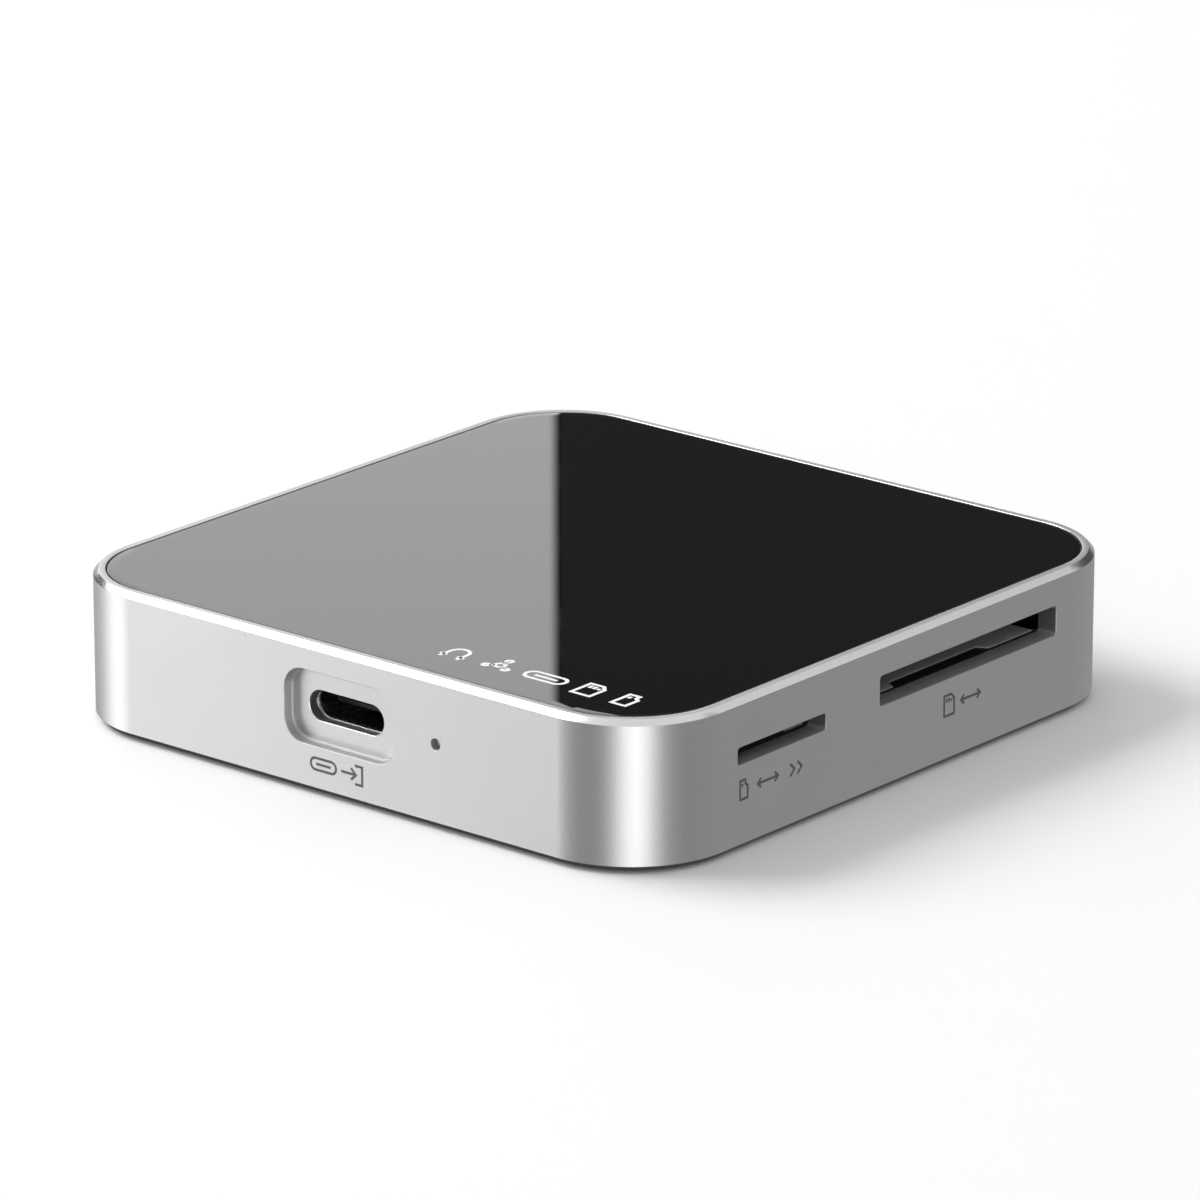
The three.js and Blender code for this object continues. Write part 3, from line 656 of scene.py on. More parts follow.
# ---- USB-C sockets -----------------------------------------------------------------------------------------
# Each socket is a seamless drawn steel shell soldered to the board, with a thin moulded tongue that carries
# twelve gold pads on each face and a steel latch plate along its sides. One is at the front, the other at the
# back.
def textured(name, grain_mm, colours, roughness, depth_mm=0.0, stretch=(1, 1, 1), **settings):
    """A material whose colour, roughness and relief follow one grain of that size. stretch draws it out."""
    material, tree, shader = surface(name, **settings)
    place = node(tree, "TexCoord").outputs["Object"]
    drawn = node(tree, "Mapping", {"Vector": place, "Scale": [1 / s for s in stretch]}).outputs["Vector"]
    grain = node(
        tree, "TexNoise", {"Vector": drawn, "Scale": 1 / (grain_mm * MM), "Detail": 3}
    ).outputs["Fac"]
    tone = node(
        tree, "Mix", {"Factor": grain, "A": srgb(colours[0]), "B": srgb(colours[1])}, data_type="RGBA"
    )
    shine = node(tree, "MapRange", {"Value": grain, 1: 0.3, 2: 0.7, 3: roughness[0], 4: roughness[1]})
    tree.links.new(tone.outputs["Result"], shader.inputs["Base Color"])
    tree.links.new(shine.outputs[0], shader.inputs["Roughness"])
    if depth_mm:
        relief = node(tree, "Bump", {"Height": grain, "Strength": 1, "Distance": depth_mm * MM})
        tree.links.new(relief.outputs["Normal"], shader.inputs["Normal"])
    return material


# Drawn and tumbled stainless steel: bright, with faint lines along the draw and a soft mirror.
drawn_steel = textured(
    "drawn_stainless_steel", 0.25, ("#b9bbbd", "#d3d4d5"), (0.16, 0.3), 0.0006, stretch=(1, 1, 6), Metallic=1
)
# Moulded liquid-crystal polymer: nearly black, with a dull gloss and the flow marks of its glass fibres.
moulded_black = textured(
    "moulded_black_polymer", 0.3, ("#0c0c0d", "#18181a"), (0.4, 0.6), 0.004, Specular_IOR_Level=0.35
)
# Gold plate over nickel on stamped copper alloy: warm and clean, slightly wavy from the stamping.
gold_plate = textured("gold_plated_contact", 0.4, ("#c79a45", "#e2bd6a"), (0.18, 0.3), 0.002, Metallic=1)


def block_on(face, u, depth, z, soft=0.04):
    """A cuboid at a side face, from ranges of u, depth and z, with its edges rounded."""
    shape = bmesh.new()
    bmesh.ops.create_cube(shape, size=1)
    low, high = (Vector((u[k], depth[k], z[k])) for k in (0, 1))
    for corner in shape.verts:
        at = Vector([low[i] + (corner.co[i] + 0.5) * (high[i] - low[i]) for i in range(3)])
        corner.co = on_face(face, *at) * MM
    shape.normal_update()
    if soft:
        bmesh.ops.bevel(shape, geom=shape.edges[:], offset=soft * MM, segments=2, profile=0.5, affect="EDGES")
    mesh = bpy.data.meshes.new("block")
    shape.to_mesh(mesh)
    shape.free()
    made = bpy.data.objects.new("block", mesh)
    bpy.context.scene.collection.objects.link(made)
    return made


def gathered(name, pieces):
    """Separate solids of the same kind, as one piece."""
    shape = bmesh.new()
    for piece in pieces:
        shape.from_mesh(piece.data)
        bpy.data.objects.remove(piece)
    mesh = bpy.data.meshes.new(name)
    shape.to_mesh(mesh)
    shape.free()
    made = bpy.data.objects.new(name, mesh)
    bpy.context.scene.collection.objects.link(made)
    return made


def fitted(piece, material, body="hub", stands_for=(), angle=32):
    """Gives a finished piece its shading, material and body, and hides the nodes it stands for."""
    # A cut leaves an empty material slot on a piece that has no material yet.
    if not any(piece.data.materials):
        piece.data.materials.clear()
        piece.data.materials.append(material)
    shaded(piece, angle)
    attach(piece, body)
    if stands_for:
        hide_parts(*stands_for)
    return piece


C_SHELL = {"size": (8.94, 3.16, 1.57), "front": WALL + 0.05, "length": 7.35, "sheet": 0.3}
C_TONGUE = {"size": (6.69, 0.7, 0.2), "front": WALL + 1.5, "body": 1.5}
C_PADS = {"count": 12, "pitch": 0.5, "width": 0.27, "length": 2.9}
for name, face in (("usb_c_input", "front"), ("usb_c_output", "back")):
    front, rear = C_SHELL["front"], C_SHELL["front"] + C_SHELL["length"]
    sheet = C_SHELL["sheet"]
    shell_section = filleted(
        [(0, front), (0, rear), (-sheet, rear), (-sheet, front + 0.22), (-sheet + 0.1, front)],
        [0.1, 0.05, 0.05, 0.12, 0.05],
        3,
    )
    shell = plug(name + "_drawn_shell", face, shell_section, *C_SHELL["size"], 0, USB_C["z"], 16, closed=True)
    fitted(shell, drawn_steel, stands_for=[name + "_shell"])

    blade_section = filleted(
        [(-0.18, C_TONGUE["front"]), (0, C_TONGUE["front"] + 0.2), (0, rear - 1)],
        [0, 0.15, 0],
        3,
        closed=False,
    )
    blade = plug(name + "_moulded_tongue", face, blade_section, *C_TONGUE["size"], 0, USB_C["z"], 4)
    insulator_size = [edge - 2 * sheet - 0.06 for edge in C_SHELL["size"][:2]]
    insulator_front = rear - C_TONGUE["body"]
    insulator_section = [(-0.1, insulator_front - 0.05), (0, insulator_front + 0.05), (0, rear - 0.05)]
    insulator = plug(
        "insulator", face, insulator_section, *insulator_size, insulator_size[1] / 2 - 0.01, 0, USB_C["z"]
    )
    combined(blade, [insulator], "UNION")
    fitted(blade, moulded_black, stands_for=[name + "_tongue"])

    half_thickness = C_TONGUE["size"][1] / 2
    pad_row = [(k - (C_PADS["count"] - 1) / 2) * C_PADS["pitch"] for k in range(C_PADS["count"])]
    pad_depth = (C_TONGUE["front"] + 0.35, C_TONGUE["front"] + 0.35 + C_PADS["length"])
    pads = gathered(name + "_pads", [
        block_on(
            face,
            (u - C_PADS["width"] / 2, u + C_PADS["width"] / 2),
            pad_depth,
            sorted(
                (USB_C["z"] + side * (half_thickness - 0.05), USB_C["z"] + side * (half_thickness + 0.015))
            ),
            0.01,
        )
        for u in pad_row
        for side in (-1, 1)
    ])
    fitted(pads, gold_plate)
    half_width = C_TONGUE["size"][0] / 2
    latch_plates = gathered(name + "_latch_plates", [
        block_on(
            face,
            sorted((side * (half_width - 0.2), side * (half_width + 0.03))),
            (C_TONGUE["front"] + 0.3, insulator_front),
            (USB_C["z"] - 0.13, USB_C["z"] + 0.13),
            0.03,
        )
        for side in (-1, 1)
    ])
    fitted(latch_plates, drawn_steel)


# ---- USB-A sockets -----------------------------------------------------------------------------------------
# Two USB-A sockets stand side by side on the left face: folded steel shells with four spring leaves that grip
# the plug, around a moulded blue tongue with four long contacts and five short ones. Moulded PBT in blue: an
# even satin gloss, and paler where the resin flowed last.
moulded_blue = textured("moulded_blue_pbt", 0.35, ("#1746a0", "#2560c4"), (0.32, 0.48), 0.003, IOR=1.55)

A_SHELL = {"size": (13.1, 5.7, 0.6), "front": 0.15, "length": 14.4, "sheet": 0.3}
A_TONGUE = {"size": (11.1, 1.84, 0.2), "front": 1.75, "rise": 0.93, "body": 4.5}
A_LEAF = {"at": 3.1, "width": 1.9, "root": 8.6, "tip": 2.9, "swell": 0.42}
A_LONG_CONTACTS = (-3.5, -1, 1, 3.5)
A_SHORT_CONTACTS = (-4, -2, 0, 2, 4)
for name, u in (("usb_a_rear", -12), ("usb_a_front", 12)):
    front, rear, sheet = A_SHELL["front"], A_SHELL["front"] + A_SHELL["length"], A_SHELL["sheet"]
    middle = USB_A["z"]
    shell_section = filleted(
        [(0, front), (0, rear), (-sheet, rear), (-sheet, front + 0.3), (-sheet + 0.14, front)],
        [0.06, 0.05, 0.05, 0.15, 0.05],
        3,
    )
    shell = plug(name + "_folded_shell", "left", shell_section, *A_SHELL["size"], u, middle, 6, closed=True)
    outer = A_SHELL["size"][1] / 2
    windows, leaves = [], []
    for across in (-A_LEAF["at"], A_LEAF["at"]):
        for side in (-1, 1):
            lane = (u + across - A_LEAF["width"] / 2, u + across + A_LEAF["width"] / 2)
            levels = sorted((middle + side * (outer - sheet - 0.2), middle + side * (outer + 0.2)))
            windows.append(block_on(
                "left", (lane[0] - 0.2, lane[1] + 0.2), (A_LEAF["tip"] - 0.3, A_LEAF["root"]), levels, 0
            ))
            wall = outer - sheet / 2
            bend = [
                (A_LEAF["root"] + 0.4, wall),
                (A_LEAF["root"] - 0.6, wall),
                (5.4, wall - 0.26),
                (4.2, wall - A_LEAF["swell"]),
                (3.5, wall - 0.32),
                (A_LEAF["tip"], wall - 0.05),
            ]
            place = lambda a, b, level, side=side: on_face("left", level, a, middle + side * b)
            leaves.append(stroke("leaf", filleted(bend, 0.6, 4, closed=False), 0.22, place, lane))
    combined(shell, windows, "DIFFERENCE")
    fitted(shell, drawn_steel, stands_for=[name + "_shell"])
    fitted(gathered(name + "_spring_leaves", leaves), drawn_steel)

    tongue_z = middle + A_TONGUE["rise"]
    tongue_section = [(-0.25, A_TONGUE["front"]), (0, A_TONGUE["front"] + 0.35), (0, rear - A_TONGUE["body"])]
    tongue = plug(name + "_moulded_tongue", "left", tongue_section, *A_TONGUE["size"], u, tongue_z, 4)
    body_size = [edge - 2 * sheet - 0.08 for edge in A_SHELL["size"][:2]]
    body_section = [(-0.1, rear - A_TONGUE["body"] - 0.1), (0, rear - A_TONGUE["body"]), (0, rear - 0.1)]
    combined(tongue, [plug("body", "left", body_section, *body_size, 0.25, u, middle, 4)], "UNION")
    fitted(tongue, moulded_blue, stands_for=[name + "_tongue"])

    underside = tongue_z - A_TONGUE["size"][1] / 2
    below = lambda a, b, level: on_face("left", level, a, underside + b)
    contact_bend = filleted([(10, 0), (5.6, -0.02), (4.6, -0.3), (3.9, -0.3), (3.1, 0)], 0.4, 4, closed=False)
    contacts = [
        stroke("contact", contact_bend, 0.12, below, (u + k - 0.5, u + k + 0.5)) for k in A_LONG_CONTACTS
    ]
    short_depth = (A_TONGUE["front"] + 0.4, A_TONGUE["front"] + 1.1)
    contacts += [
        block_on("left", (u + k - 0.3, u + k + 0.3), short_depth, (underside - 0.03, underside + 0.08), 0.02)
        for k in A_SHORT_CONTACTS
    ]
    fitted(gathered(name + "_contacts", contacts), gold_plate)


# ---- Card sockets ------------------------------------------------------------------------------------------
# Two push-push sockets lie on the board behind the right face, for SD and microSD cards. Each is a black
# moulded tray with a steel liner on its floor, stamped gold fingers at the back and a folded steel cover that
# clips over it. Cold-rolled stainless sheet: a dull even silver with fine lines along the rolling direction.
rolled_sheet = textured(
    "cold_rolled_stainless_sheet",
    0.12,
    ("#9fa1a3", "#bfc0c1"),
    (0.24, 0.4),
    0.002,
    stretch=(8, 1, 1),
    Metallic=1,
)
# Matt tin plate on the liners: a pale, dry grey that scatters light deep in the socket, without a clear
# reflection.
matt_tin = textured(
    "matt_tin_plate", 0.2, ("#c4c5c7", "#dcddde"), (0.42, 0.6), 0.003, stretch=(8, 1, 1), Metallic=0.3
)
# Natural acetal, moulded: milky white and waxy, with a soft, blurred sheen.
white_acetal = textured("moulded_white_acetal", 0.4, ("#dcdbd3", "#ecebe6"), (0.34, 0.48), 0.003, IOR=1.48)
# Cold-drawn spring wire: smooth and bright, with draw lines too fine to see singly.
spring_wire = textured("cold_drawn_spring_wire", 0.1, ("#a5a7a9", "#c9cacb"), (0.14, 0.26), 0.001, Metallic=1)


def tube(name, points, radius, sides=10):
    """A round wire along a line of 3D points."""
    points = [Vector(p) for p in points]
    rings, side = [], None
    for i, point in enumerate(points):
        along = (points[min(i + 1, len(points) - 1)] - points[max(i - 1, 0)]).normalized()
        side = (along.orthogonal() if side is None else side - along * side.dot(along)).normalized()
        other = along.cross(side)
        angles = [2 * math.pi * k / sides for k in range(sides)]
        rings.append([point + radius * (math.cos(a) * side + math.sin(a) * other) for a in angles])
    return lofted(name, rings)


TRAY_Z = 7.93
SOCKET_FRONT = WALL + 0.05
SOCKETS = (
    {
        "name": "sd",
        "u": SD_SLOT["u"],
        "channel": 24.3,
        "length": 29,
        "roof": 2.75,
        "rail": 0.5,
        "sheet": 0.2,
        "slider": {
            "width": 2.1,
            "start": 8,
            "bar": 5,
            "strip": 0.45,
            "arm": 2.6,
            "rear": 21.9,
            "thick": 1.2,
            "tall": 1.2,
        },
        "spring": {"coils": 9, "radius": 0.55, "wire": 0.13, "to": 27.9},
        "fingers": {"count": 9, "pitch": 2.3, "width": 0.9, "tip": 21.6, "bar": 1.3},
        "liner": (-12.1, 12.1, 20),
        "notch": ((-8.58, 0.1), (-7.6, 1.15), (5.1, 1.15), (5.98, 0.1)),
        "joint": "sd_eject",
    },
    {
        "name": "microsd",
        "u": MICRO_SD_SLOT["u"],
        "channel": 11.3,
        "length": 15,
        "roof": 1.63,
        "rail": 0.45,
        "sheet": 0.15,
        "slider": {
            "width": 1.6,
            "start": 3.2,
            "bar": 3,
            "strip": 0.35,
            "arm": 1.6,
            "rear": 9.9,
            "thick": 0.8,
            "tall": 0.68,
        },
        "spring": {"coils": 8, "radius": 0.36, "wire": 0.1, "to": 13.9},
        "fingers": {"count": 8, "pitch": 1, "width": 0.5, "tip": 9.8, "bar": 0.7},
        "liner": (2.9, 5.5, 8),
        "notch": None,
        "joint": "microsd_eject",
    },
)
FLOOR, LINER, REAR_WALL, PLAY = 0.45, 0.08, 1.1, 0.05
for socket in SOCKETS:
    name, centre, channel, length = socket["name"], socket["u"], socket["channel"], socket["length"]
    roof, rail, sheet, slider = socket["roof"], socket["rail"], socket["sheet"], socket["slider"]
    left = -channel / 2 - rail
    ejector = channel / 2 + 0.1
    right_rail = ejector + slider["width"] + 0.15
    right = right_rail + rail

    def inside(u, depth, z, soft=0.04, centre=centre):
        """A block in the socket's frame: u from the centre, depth from the mouth, height from the board."""
        return block_on(
            "right",
            [k + centre for k in u],
            [k + SOCKET_FRONT for k in depth],
            [k + TRAY_Z for k in z],
            soft,
        )

    # Pieces that are joined stop a hair short of each other's faces, because faces that coincide don't join
    # cleanly.
    hair = 0.004
    wall_z = (FLOOR - 0.2, roof - PLAY)
    tray = inside((left, right), (0, length), (0, FLOOR))
    walls = [
        inside((left + hair, -channel / 2), (hair, length - hair), wall_z),
        inside((right_rail, right - hair), (hair, length - hair), wall_z),
        inside(
            (left + rail / 2, right - rail / 2),
            (length - REAR_WALL, length - 2 * hair),
            (wall_z[0], wall_z[1] - hair),
        ),
    ]
    combined(tray, walls, "UNION")
    liner_left, liner_right, liner_rear = socket["liner"]
    bed = inside((liner_left - 0.05, liner_right + 0.05), (-1, liner_rear + 0.05), (FLOOR - LINER, 1), 0)
    fingers = socket["fingers"]
    first = -channel / 2 + 1.1 + fingers["width"] / 2
    lanes = [first + k * fingers["pitch"] for k in range(fingers["count"])]
    lane_depth = (fingers["tip"] - 0.5, length - REAR_WALL - 1.5)
    relief_slots = [
        inside(
            (k - fingers["width"] / 2 - 0.1, k + fingers["width"] / 2 + 0.1), lane_depth, (FLOOR - 0.2, 1), 0
        )
        for k in lanes
    ]
    combined(tray, [bed, *relief_slots], "DIFFERENCE")

    liner = inside((liner_left, liner_right), (0.1, liner_rear), (FLOOR - LINER, FLOOR), 0.01)
    if socket["notch"]:
        cut_line = [
            (centre + u, SOCKET_FRONT + (depth if depth > 0.5 else -0.5)) for u, depth in socket["notch"]
        ]
        for pierced in (tray, liner):
            levels = (TRAY_Z + 0.07, TRAY_Z + FLOOR + 1)
            notch = lofted(
                "notch", [[on_face("right", *point, level) for point in cut_line] for level in levels]
            )
            combined(pierced, [notch], "DIFFERENCE")
    liner.name = name + "_steel_liner"
    fitted(liner, matt_tin)
    tray.name = name + "_moulded_tray"
    fitted(tray, moulded_black, stands_for=[name + "_socket_base"])

    back, tip, half = length - REAR_WALL - PLAY, fingers["tip"], fingers["width"] / 2
    side_on = lambda a, b, level: on_face("right", centre + level, SOCKET_FRONT + a, TRAY_Z + FLOOR + b)
    finger_bend = filleted(
        [(back, 0.1), (back - 2, 0.1), (tip + 0.8, 0.36), (tip + 0.4, 0.36), (tip, 0.14)],
        0.3,
        4,
        closed=False,
    )
    stamped = [stroke("finger", finger_bend, 0.12, side_on, (k - half, k + half)) for k in lanes]
    bar_u = (first - 2 * half, lanes[-1] + 2 * half)
    stamped.append(inside(bar_u, (back - fingers["bar"], back), (FLOOR + 0.03, FLOOR + 0.5)))
    contacts = gathered(name + "_stamped_fingers", stamped)
    fitted(contacts, gold_plate, stands_for=[name + "_socket_contacts"])

    # The folded cover, with a window over the fingers and two over the clips at the sides.
    cover_depth = (0.1, length - 0.3)
    cover = inside((left - PLAY - sheet, right + PLAY + sheet), cover_depth, (roof, roof + sheet), 0.03)
    flap_depth, flap_z = (cover_depth[0] + hair, cover_depth[1] - hair), (0.35, roof + sheet / 2)
    flaps = [
        inside((left - PLAY - sheet + hair, left - PLAY), flap_depth, flap_z, 0.03),
        inside((right + PLAY, right + PLAY + sheet - hair), flap_depth, flap_z, 0.03),
    ]
    combined(cover, flaps, "UNION")
    windows = [
        inside((-channel / 3, channel / 3), (length - 4.2, length - 3), (roof - 0.1, roof + 1), 0),
        inside(
            (left - 1, right + 1),
            (length * 0.3, length * 0.3 + 1.6),
            (roof / 2 - 0.25, roof / 2 + 0.25),
            0,
        ),
    ]
    combined(cover, windows, "DIFFERENCE")
    cover.name = name + "_folded_cover"
    fitted(cover, rolled_sheet, stands_for=[name + "_socket_cover"])

    # The slider: its bar is in front of the spring, and a thin strip runs past the spring to the arm behind
    # the card.
    z = (FLOOR + PLAY, FLOOR + PLAY + slider["tall"])
    inner = ejector + PLAY
    bar_end, slider_end = slider["start"] + slider["bar"], slider["rear"] + slider["thick"]
    spring = socket["spring"]
    spring_u = (inner + slider["strip"] + right_rail) / 2
    spring_z = FLOOR + 2 * PLAY + spring["radius"] + spring["wire"]
    peg_z = (spring_z - 0.2, spring_z + 0.2)
    ejecting = inside((inner, ejector + slider["width"]), (slider["start"], bar_end), z, 0.08)
    strip_z, arm_z = (z[0] + hair, z[1] - hair), (z[0] + 2 * hair, z[1] - 2 * hair)
    strip_u = (inner + hair, inner + slider["strip"])
    arm_u = (channel / 2 - slider["arm"], inner + slider["strip"] / 2)
    arms = [
        inside(strip_u, (bar_end - 0.2, slider_end), strip_z, 0.05),
        inside(arm_u, (slider["rear"], slider_end - hair), arm_z, 0.08),
        inside((spring_u - 0.2, spring_u + 0.2), (bar_end - 0.2, bar_end + 0.8), peg_z, 0.08),
    ]
    combined(ejecting, arms, "UNION")
    groove_u, groove_depth = centre + ejector + slider["width"] / 2 + 0.05, SOCKET_FRONT + slider["start"]
    reach = slider["bar"]
    heart = [
        (0, 0.12), (0.2, 0.3), (0.22, 0.7), (0, 0.82),
        (-0.06, 0.66), (-0.18, 0.8), (-0.24, 0.5), (-0.18, 0.25),
    ]
    heart_line = [(a * slider["width"] * 1.1, b * reach) for a, b in heart]
    sunk = lambda a, b, level: on_face("right", groove_u + a, groove_depth + b, TRAY_Z + z[1] + level)
    heart_cuts = [
        stroke("heart", [start, end], slider["width"] * 0.14, sunk, (-0.3 - hair * k, 0.3))
        for k, (start, end) in enumerate(zip(heart_line, heart_line[1:] + heart_line[:1]))
    ]
    combined(ejecting, heart_cuts, "DIFFERENCE")
    ejecting.name = name + "_moulded_slider"
    fitted(ejecting, white_acetal, name + "_ejector", [name + "_eject_slider"])

    # The spring's end coils lie closed and flat against the slider and the rear wall.
    start, end = bar_end + spring["wire"] + PLAY, spring["to"] - spring["wire"] - PLAY
    turns, steps = spring["coils"], spring["coils"] * 28
    line = []
    for k in range(steps + 1):
        t = k / steps
        closed = 1 / turns
        pitch = min(max((t - closed) / (1 - 2 * closed), 0), 1)
        flat = 2.2 * spring["wire"] * (min(t, closed) + max(t - 1 + closed, 0)) / closed
        depth = start + flat + pitch * (end - start - 4.4 * spring["wire"])
        angle = 2 * math.pi * turns * t
        line.append(on_face(
            "right",
            centre + spring_u + spring["radius"] * math.cos(angle),
            SOCKET_FRONT + depth,
            TRAY_Z + spring_z + spring["radius"] * math.sin(angle),
        ))
    coil = tube(name + "_coiled_spring", line, spring["wire"], 8)
    fitted(coil, spring_wire, stands_for=[name + "_eject_spring"])
    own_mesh(coil)

    # The cam link is a bent wire. Its front end turns down into the tray, and its rear end runs in the heart
    # groove.
    above = FLOOR + 2 * PLAY + slider["tall"]
    thick = min(0.4, roof - above - PLAY)
    link_u = centre + ejector + slider["width"] / 2
    front_end = slider["start"] - 2.2
    bend = [
        (front_end + thick / 2, FLOOR + PLAY),
        (front_end + thick / 2, above + thick / 2),
        (slider["start"] + slider["bar"] * 0.8, above + thick / 2),
    ]
    bent = [
        on_face("right", link_u, SOCKET_FRONT + depth, TRAY_Z + height)
        for depth, height in filleted(bend, thick * 0.6, 5, closed=False)
    ]
    link = tube(name + "_bent_link", bent, thick / 2)
    fitted(link, spring_wire, stands_for=[name + "_cam_link"])


# ---- Status light ------------------------------------------------------------------------------------------
# A pin of clear acrylic is pressed in behind the small hole beside the front port, with a flange against the
# wall. It leads the light of a white LED on the board to the face. Clear moulded acrylic, unlit: grey in its
# hole, with a soft sheen on its rounded tip.
clear_acrylic = textured(
    "moulded_clear_acrylic",
    0.2,
    ("#a4a8ab", "#c2c6c9"),
    (0.2, 0.34),
    0.002,
    IOR=1.49,
    Transmission_Weight=0.1,
)
# Cast silicone resin with phosphor: pale yellow, cloudy and smooth.
led_resin = textured("cast_led_resin", 0.3, ("#ece6bf", "#f7f4dd"), (0.2, 0.34), 0.003, IOR=1.5)

pin_section = filleted(
    [(-0.3, 0.55), (0, 0.75), (0, WALL + 0.05), (0.4, WALL + 0.05), (0.4, WALL + 1.1)],
    [0, 0.18, 0.02, 0.05, 0],
    4,
    closed=False,
)
pipe = plug("light_pipe_pin", "front", pin_section, 1, 1, 0.499, LIGHT_HOLE["u"], LIGHT_HOLE["z"], 8)
fitted(pipe, clear_acrylic, stands_for=["led_light_pipe"])


def carried(name, material, soft=0.05):
    """Finishes a node that keeps its own mesh: its material, and edge rounding that leaves the mesh alone."""
    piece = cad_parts[name]
    piece.data.materials.clear()
    piece.data.materials.append(material)
    rounding = piece.modifiers.new("soft edges", "BEVEL")
    rounding.width = soft * MM
    rounding.segments = 2
    rounding.limit_method = "ANGLE"
    rounding.angle_limit = math.radians(40)
    return piece


carried("status_led", led_resin, 0.08)


# ---- Circuit board -----------------------------------------------------------------------------------------
# A 1.2 mm glass-epoxy board, cut out around the sockets and clamped between the bosses and the cover's posts.
# It carries the hub chip underneath, over a silicone pad, and the reader and power parts on top. Green solder
# mask over copper: glossy, with bundles of traces showing as raised paler lines. They are really about 0.15
# mm wide, and are drawn at 0.25 mm so that they show.
solder_mask, tree, shader = surface("solder_masked_board", Roughness=0.32, IOR=1.5)
place = node(tree, "TexCoord").outputs["Object"]
traces = node(
    tree,
    "TexBrick",
    {"Vector": place, "Scale": 1, "Mortar Size": 0.12 * MM, "Mortar Smooth": 0.1, "Brick Width": 7.3 * MM,
     "Row Height": 0.9 * MM},
    offset=0.37,
    squash=0.55,
    squash_frequency=3,
)
copper = traces.outputs["Fac"]
green = node(tree, "Mix", {"Factor": copper, "A": srgb("#0e3424"), "B": srgb("#1d5a3c")}, data_type="RGBA")
raised = node(tree, "Bump", {"Height": copper, "Strength": 1, "Distance": 0.03 * MM})
tree.links.new(green.outputs["Result"], shader.inputs["Base Color"])
tree.links.new(raised.outputs["Normal"], shader.inputs["Normal"])
# Moulded epoxy: matt charcoal with a fine spark-eroded texture.
chip_epoxy = textured("moulded_chip_epoxy", 0.08, ("#17171a", "#222225"), (0.55, 0.75), 0.006, IOR=1.55)
# Pressed and sintered ferrite: dark grey, dry and grainy.
sintered_ferrite = textured("sintered_ferrite", 0.15, ("#2e3033", "#45474b"), (0.5, 0.75), 0.01)
# Fired ceramic: warm tan, smooth, with a slight glaze.
fired_ceramic = textured("fired_ceramic", 0.3, ("#b9a986", "#cdbf9e"), (0.3, 0.45), 0.004, IOR=1.6)
# Filled silicone: blue-grey, soft and dry, dimpled where it is pressed.
silicone_pad = textured("filled_silicone", 0.7, ("#7f97a7", "#9db2c0"), (0.75, 0.95), 0.03, IOR=1.41)

carried("main_board", solder_mask)
for chip in ("card_reader_chip", "power_control_chip", "firmware_chip", "hub_controller_chip"):
    carried(chip, chip_epoxy, 0.08)
for part in ("clock_crystal", "bulk_capacitor"):
    carried(part, fired_ceramic, 0.15)
carried("power_inductor", sintered_ferrite, 0.3)
carried("thermal_pad", silicone_pad, 0.12)


# ---- Magnet ring -------------------------------------------------------------------------------------------
# Twelve sector magnets sit in a moulded ring on a steel shunt, and the ring is taped under the glass, so that
# a phone or a steel plate clings to the top. A frame of the same foam tape holds the glass to the ledge.
# Electroplated nickel: bright and slightly yellow, with a faint orange-peel.
nickel_plate = textured("electroplated_nickel", 0.5, ("#aeaca5", "#c6c4bd"), (0.14, 0.26), 0.004, Metallic=1)
# Cold-rolled mild steel, lightly oiled: darker than the nickel and more streaked.
mild_steel = textured(
    "cold_rolled_mild_steel", 0.2, ("#7d7f81", "#95979a"), (0.32, 0.5), 0.003, stretch=(6, 1, 1), Metallic=1
)
# Closed-cell foam tape: dull black, its cells showing as fine pits.
foam_tape = textured("closed_cell_foam_tape", 0.12, ("#1e1e1f", "#303032"), (0.8, 0.95), 0.03)

carried("magnet_carrier", moulded_black, 0.08)
carried("magnet_shunt_ring", mild_steel, 0.03)
for k in range(12):
    carried(f"magnet_{k + 1:02d}", nickel_plate, 0.1)
carried("carrier_adhesive", foam_tape, 0.03)
carried("glass_adhesive", foam_tape, 0.03)


# ---- Bottom cover ------------------------------------------------------------------------------------------
# A blasted and anodised aluminium plate closes the bottom. Four posts on it reach up to the board, and a
# pedestal takes the hub chip's heat. Four screws go through the posts into the frame's bosses.
cover_low, cover_high = (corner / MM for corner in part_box("bottom_cover"))
cover_side = cover_high.x - cover_low.x
PLATE = {"thickness": 1.2, "corner": 8.7}
plate_top = cover_low.z + PLATE["thickness"]
post_top = cover_high.z
plate_section = [(1, cover_low.z), (0, cover_low.z), (0, plate_top), (1, plate_top)]
plate = stacked(
    "base_plate", filleted(plate_section, [0, 0.18, 0.1, 0], 3, closed=False), cover_side, PLATE["corner"]
)
POST = {"radius": 2.4, "foot": 0.3, "chamfer": 0.15}
post_profile = [
    (POST["foot"], plate_top - 0.2),
    (POST["foot"], plate_top),
    (0, plate_top + POST["foot"]),
    (0, post_top - POST["chamfer"]),
    (-POST["chamfer"], post_top),
]
COUNTERSINK = {"bore": 0.9, "growth": 0.72, "rim": 0.2, "depth": 0.95}
countersink_profile = [
    (COUNTERSINK["growth"] + 0.08, -1),
    (COUNTERSINK["growth"] + 0.08, cover_low.z),
    (COUNTERSINK["growth"], cover_low.z + 0.08),
    (COUNTERSINK["growth"], cover_low.z + COUNTERSINK["rim"]),
    (0, cover_low.z + COUNTERSINK["depth"]),
    (0, 8),
]
posts, holes = [], []
for x, y in corner_signs.values():
    at = (x * SCREW_AT, y * SCREW_AT)
    posts.append(upright("post", POST["radius"], post_profile, at, 48))
    holes.append(upright("countersink", COUNTERSINK["bore"], countersink_profile, at, 40))
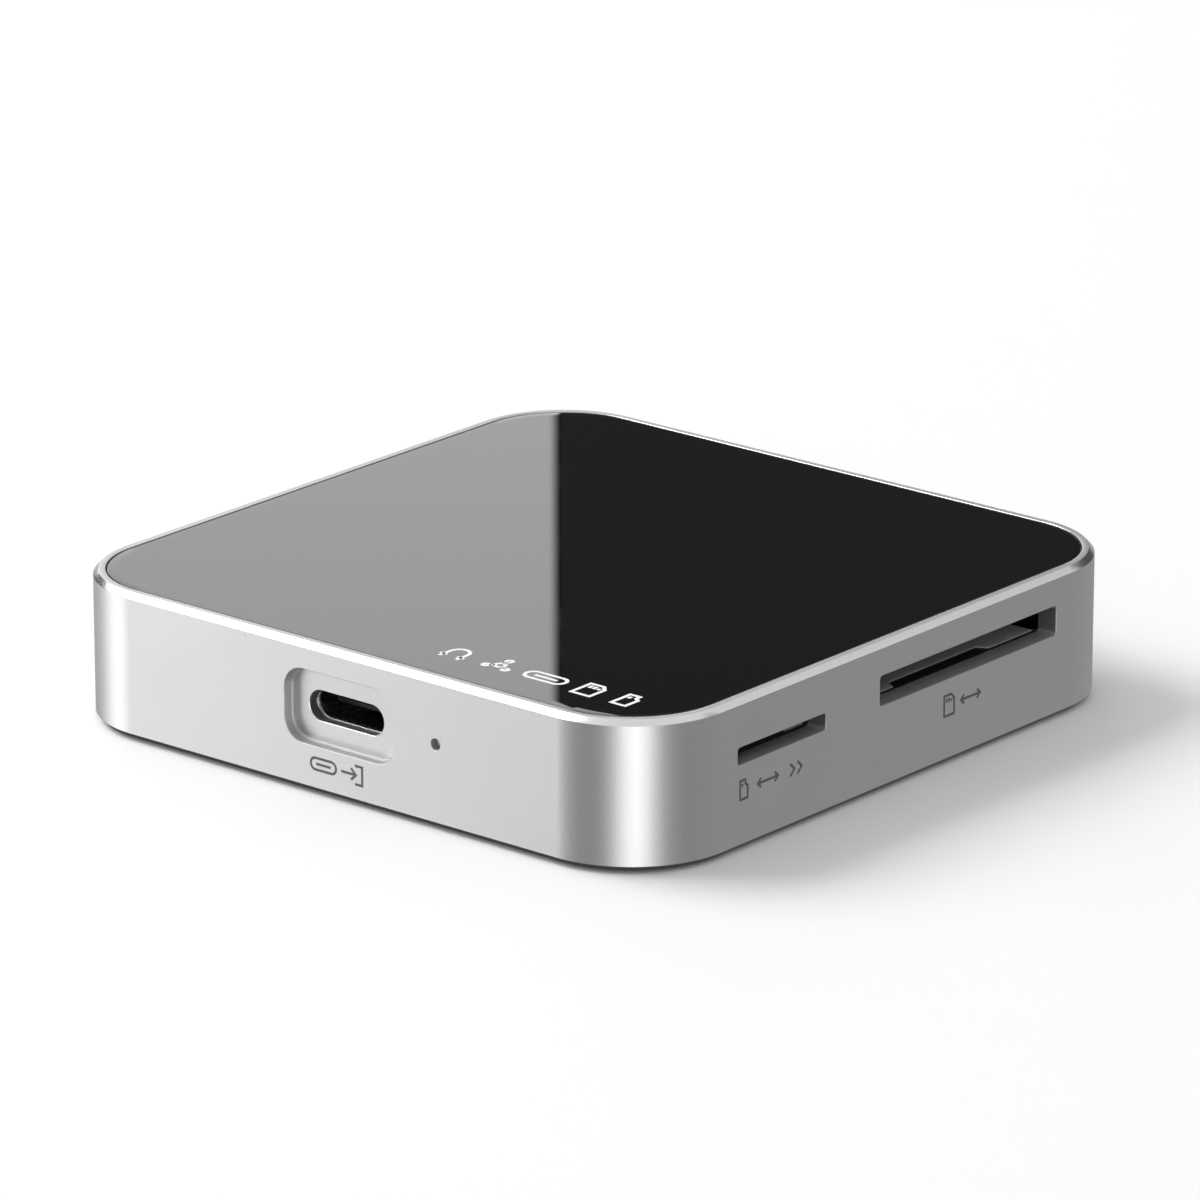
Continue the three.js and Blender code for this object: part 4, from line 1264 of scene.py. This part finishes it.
hub_chip_low, hub_chip_high = (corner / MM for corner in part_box("hub_controller_chip"))
chip_middle = (hub_chip_low + hub_chip_high) / 2
PEDESTAL = {"side": 12, "corner": 1, "top": 4.1, "chamfer": 0.15}
pedestal_profile = [
    (0, plate_top - 0.2),
    (0, PEDESTAL["top"] - PEDESTAL["chamfer"]),
    (PEDESTAL["chamfer"], PEDESTAL["top"]),
]
pedestal = stacked("pedestal", pedestal_profile, PEDESTAL["side"], PEDESTAL["corner"], centre=chip_middle.xy)
FOOT = {"at": 21.5, "radius": 3.5, "pocket": cover_low.z + 0.45}
for x, y in corner_signs.values():
    pocket = [(0.2, -1), (0.2, cover_low.z), (0.12, cover_low.z + 0.08), (0.12, FOOT["pocket"])]
    holes.append(upright("foot_pocket", FOOT["radius"], pocket, (x * FOOT["at"], y * FOOT["at"]), 64))
combined(plate, [*posts, pedestal], "UNION")
combined(plate, holes, "DIFFERENCE")
fitted(plate, blasted_aluminium, stands_for=["bottom_cover"])


# ---- Screws and feet ---------------------------------------------------------------------------------------
# Four zinc-plated countersunk screws with cross recesses hold the cover, and four die-cut rubber feet are
# glued into its pockets. Zinc plate with a clear passivate: bluish silver, with a slight milky cast.
zinc_plate = textured("clear_passivated_zinc", 0.25, ("#8e9296", "#b2b5b8"), (0.26, 0.42), 0.004, Metallic=1)
# Moulded silicone rubber: charcoal and matt, with a fine texture from the mould that lets it grip.
moulded_rubber = textured("moulded_black_rubber", 0.16, ("#161617", "#232324"), (0.7, 0.92), 0.02, IOR=1.45)

# The thread is drawn as rings of the real pitch and depth, without its lead.
SCREW = {"shank": 0.76, "head": 0.74, "head_height": 0.86, "tip": 10.7, "pitch": 0.4, "thread": 0.11}
CROSS = {"radius": 0.85, "depth": 0.45, "length": 1.35, "width": 0.24}
for corner_name, (x, y) in corner_signs.items():
    at = (x * SCREW_AT, y * SCREW_AT)
    head_z = cover_low.z + 0.08
    profile = [
        (SCREW["head"] - 0.08, head_z),
        (SCREW["head"], head_z + 0.06),
        (SCREW["head"], head_z + 0.12),
        (0, head_z + SCREW["head_height"]),
        (0, post_top - 0.2),
    ]
    z = post_top
    while z < SCREW["tip"] - 0.5:
        root = z + SCREW["pitch"] / 2
        profile += [(0, z), (0, z + 0.08), (-SCREW["thread"], root), (-SCREW["thread"], root + 0.04)]
        z += SCREW["pitch"]
    profile += [(0, z), (-0.3, SCREW["tip"])]
    screw = upright("cover_screw", SCREW["shank"], profile, at, 32)
    recesses = []
    for turn in (0, 90):
        recess_profile = [(0.06, -0.4), (0, head_z), (-0.35, head_z + CROSS["depth"])]
        recess = upright("recess", CROSS["radius"], recess_profile, (0, 0), 4)
        recess.data.transform(Matrix.Rotation(math.radians(45), 4, "Z"))
        recess.data.transform(Matrix.Diagonal((CROSS["length"], CROSS["width"], 1, 1)))
        recess.data.transform(Matrix.Rotation(math.radians(turn), 4, "Z"))
        recess.data.transform(Matrix.Translation((at[0] * MM, at[1] * MM, 0)))
        recesses.append(recess)
    combined(screw, recesses, "DIFFERENCE")
    screw.name = "countersunk_screw_" + corner_name
    fitted(screw, zinc_plate, stands_for=["cover_screw_" + corner_name])

    foot_section = filleted([(-1.2, 0), (0, 0), (0, 0.78), (-0.3, 0.78)], [0, 0.2, 0.05, 0], 5, closed=False)
    foot = upright(
        "rubber_foot_" + corner_name, FOOT["radius"], foot_section, (x * FOOT["at"], y * FOOT["at"]), 72
    )
    fitted(foot, moulded_rubber, stands_for=["foot_" + corner_name])
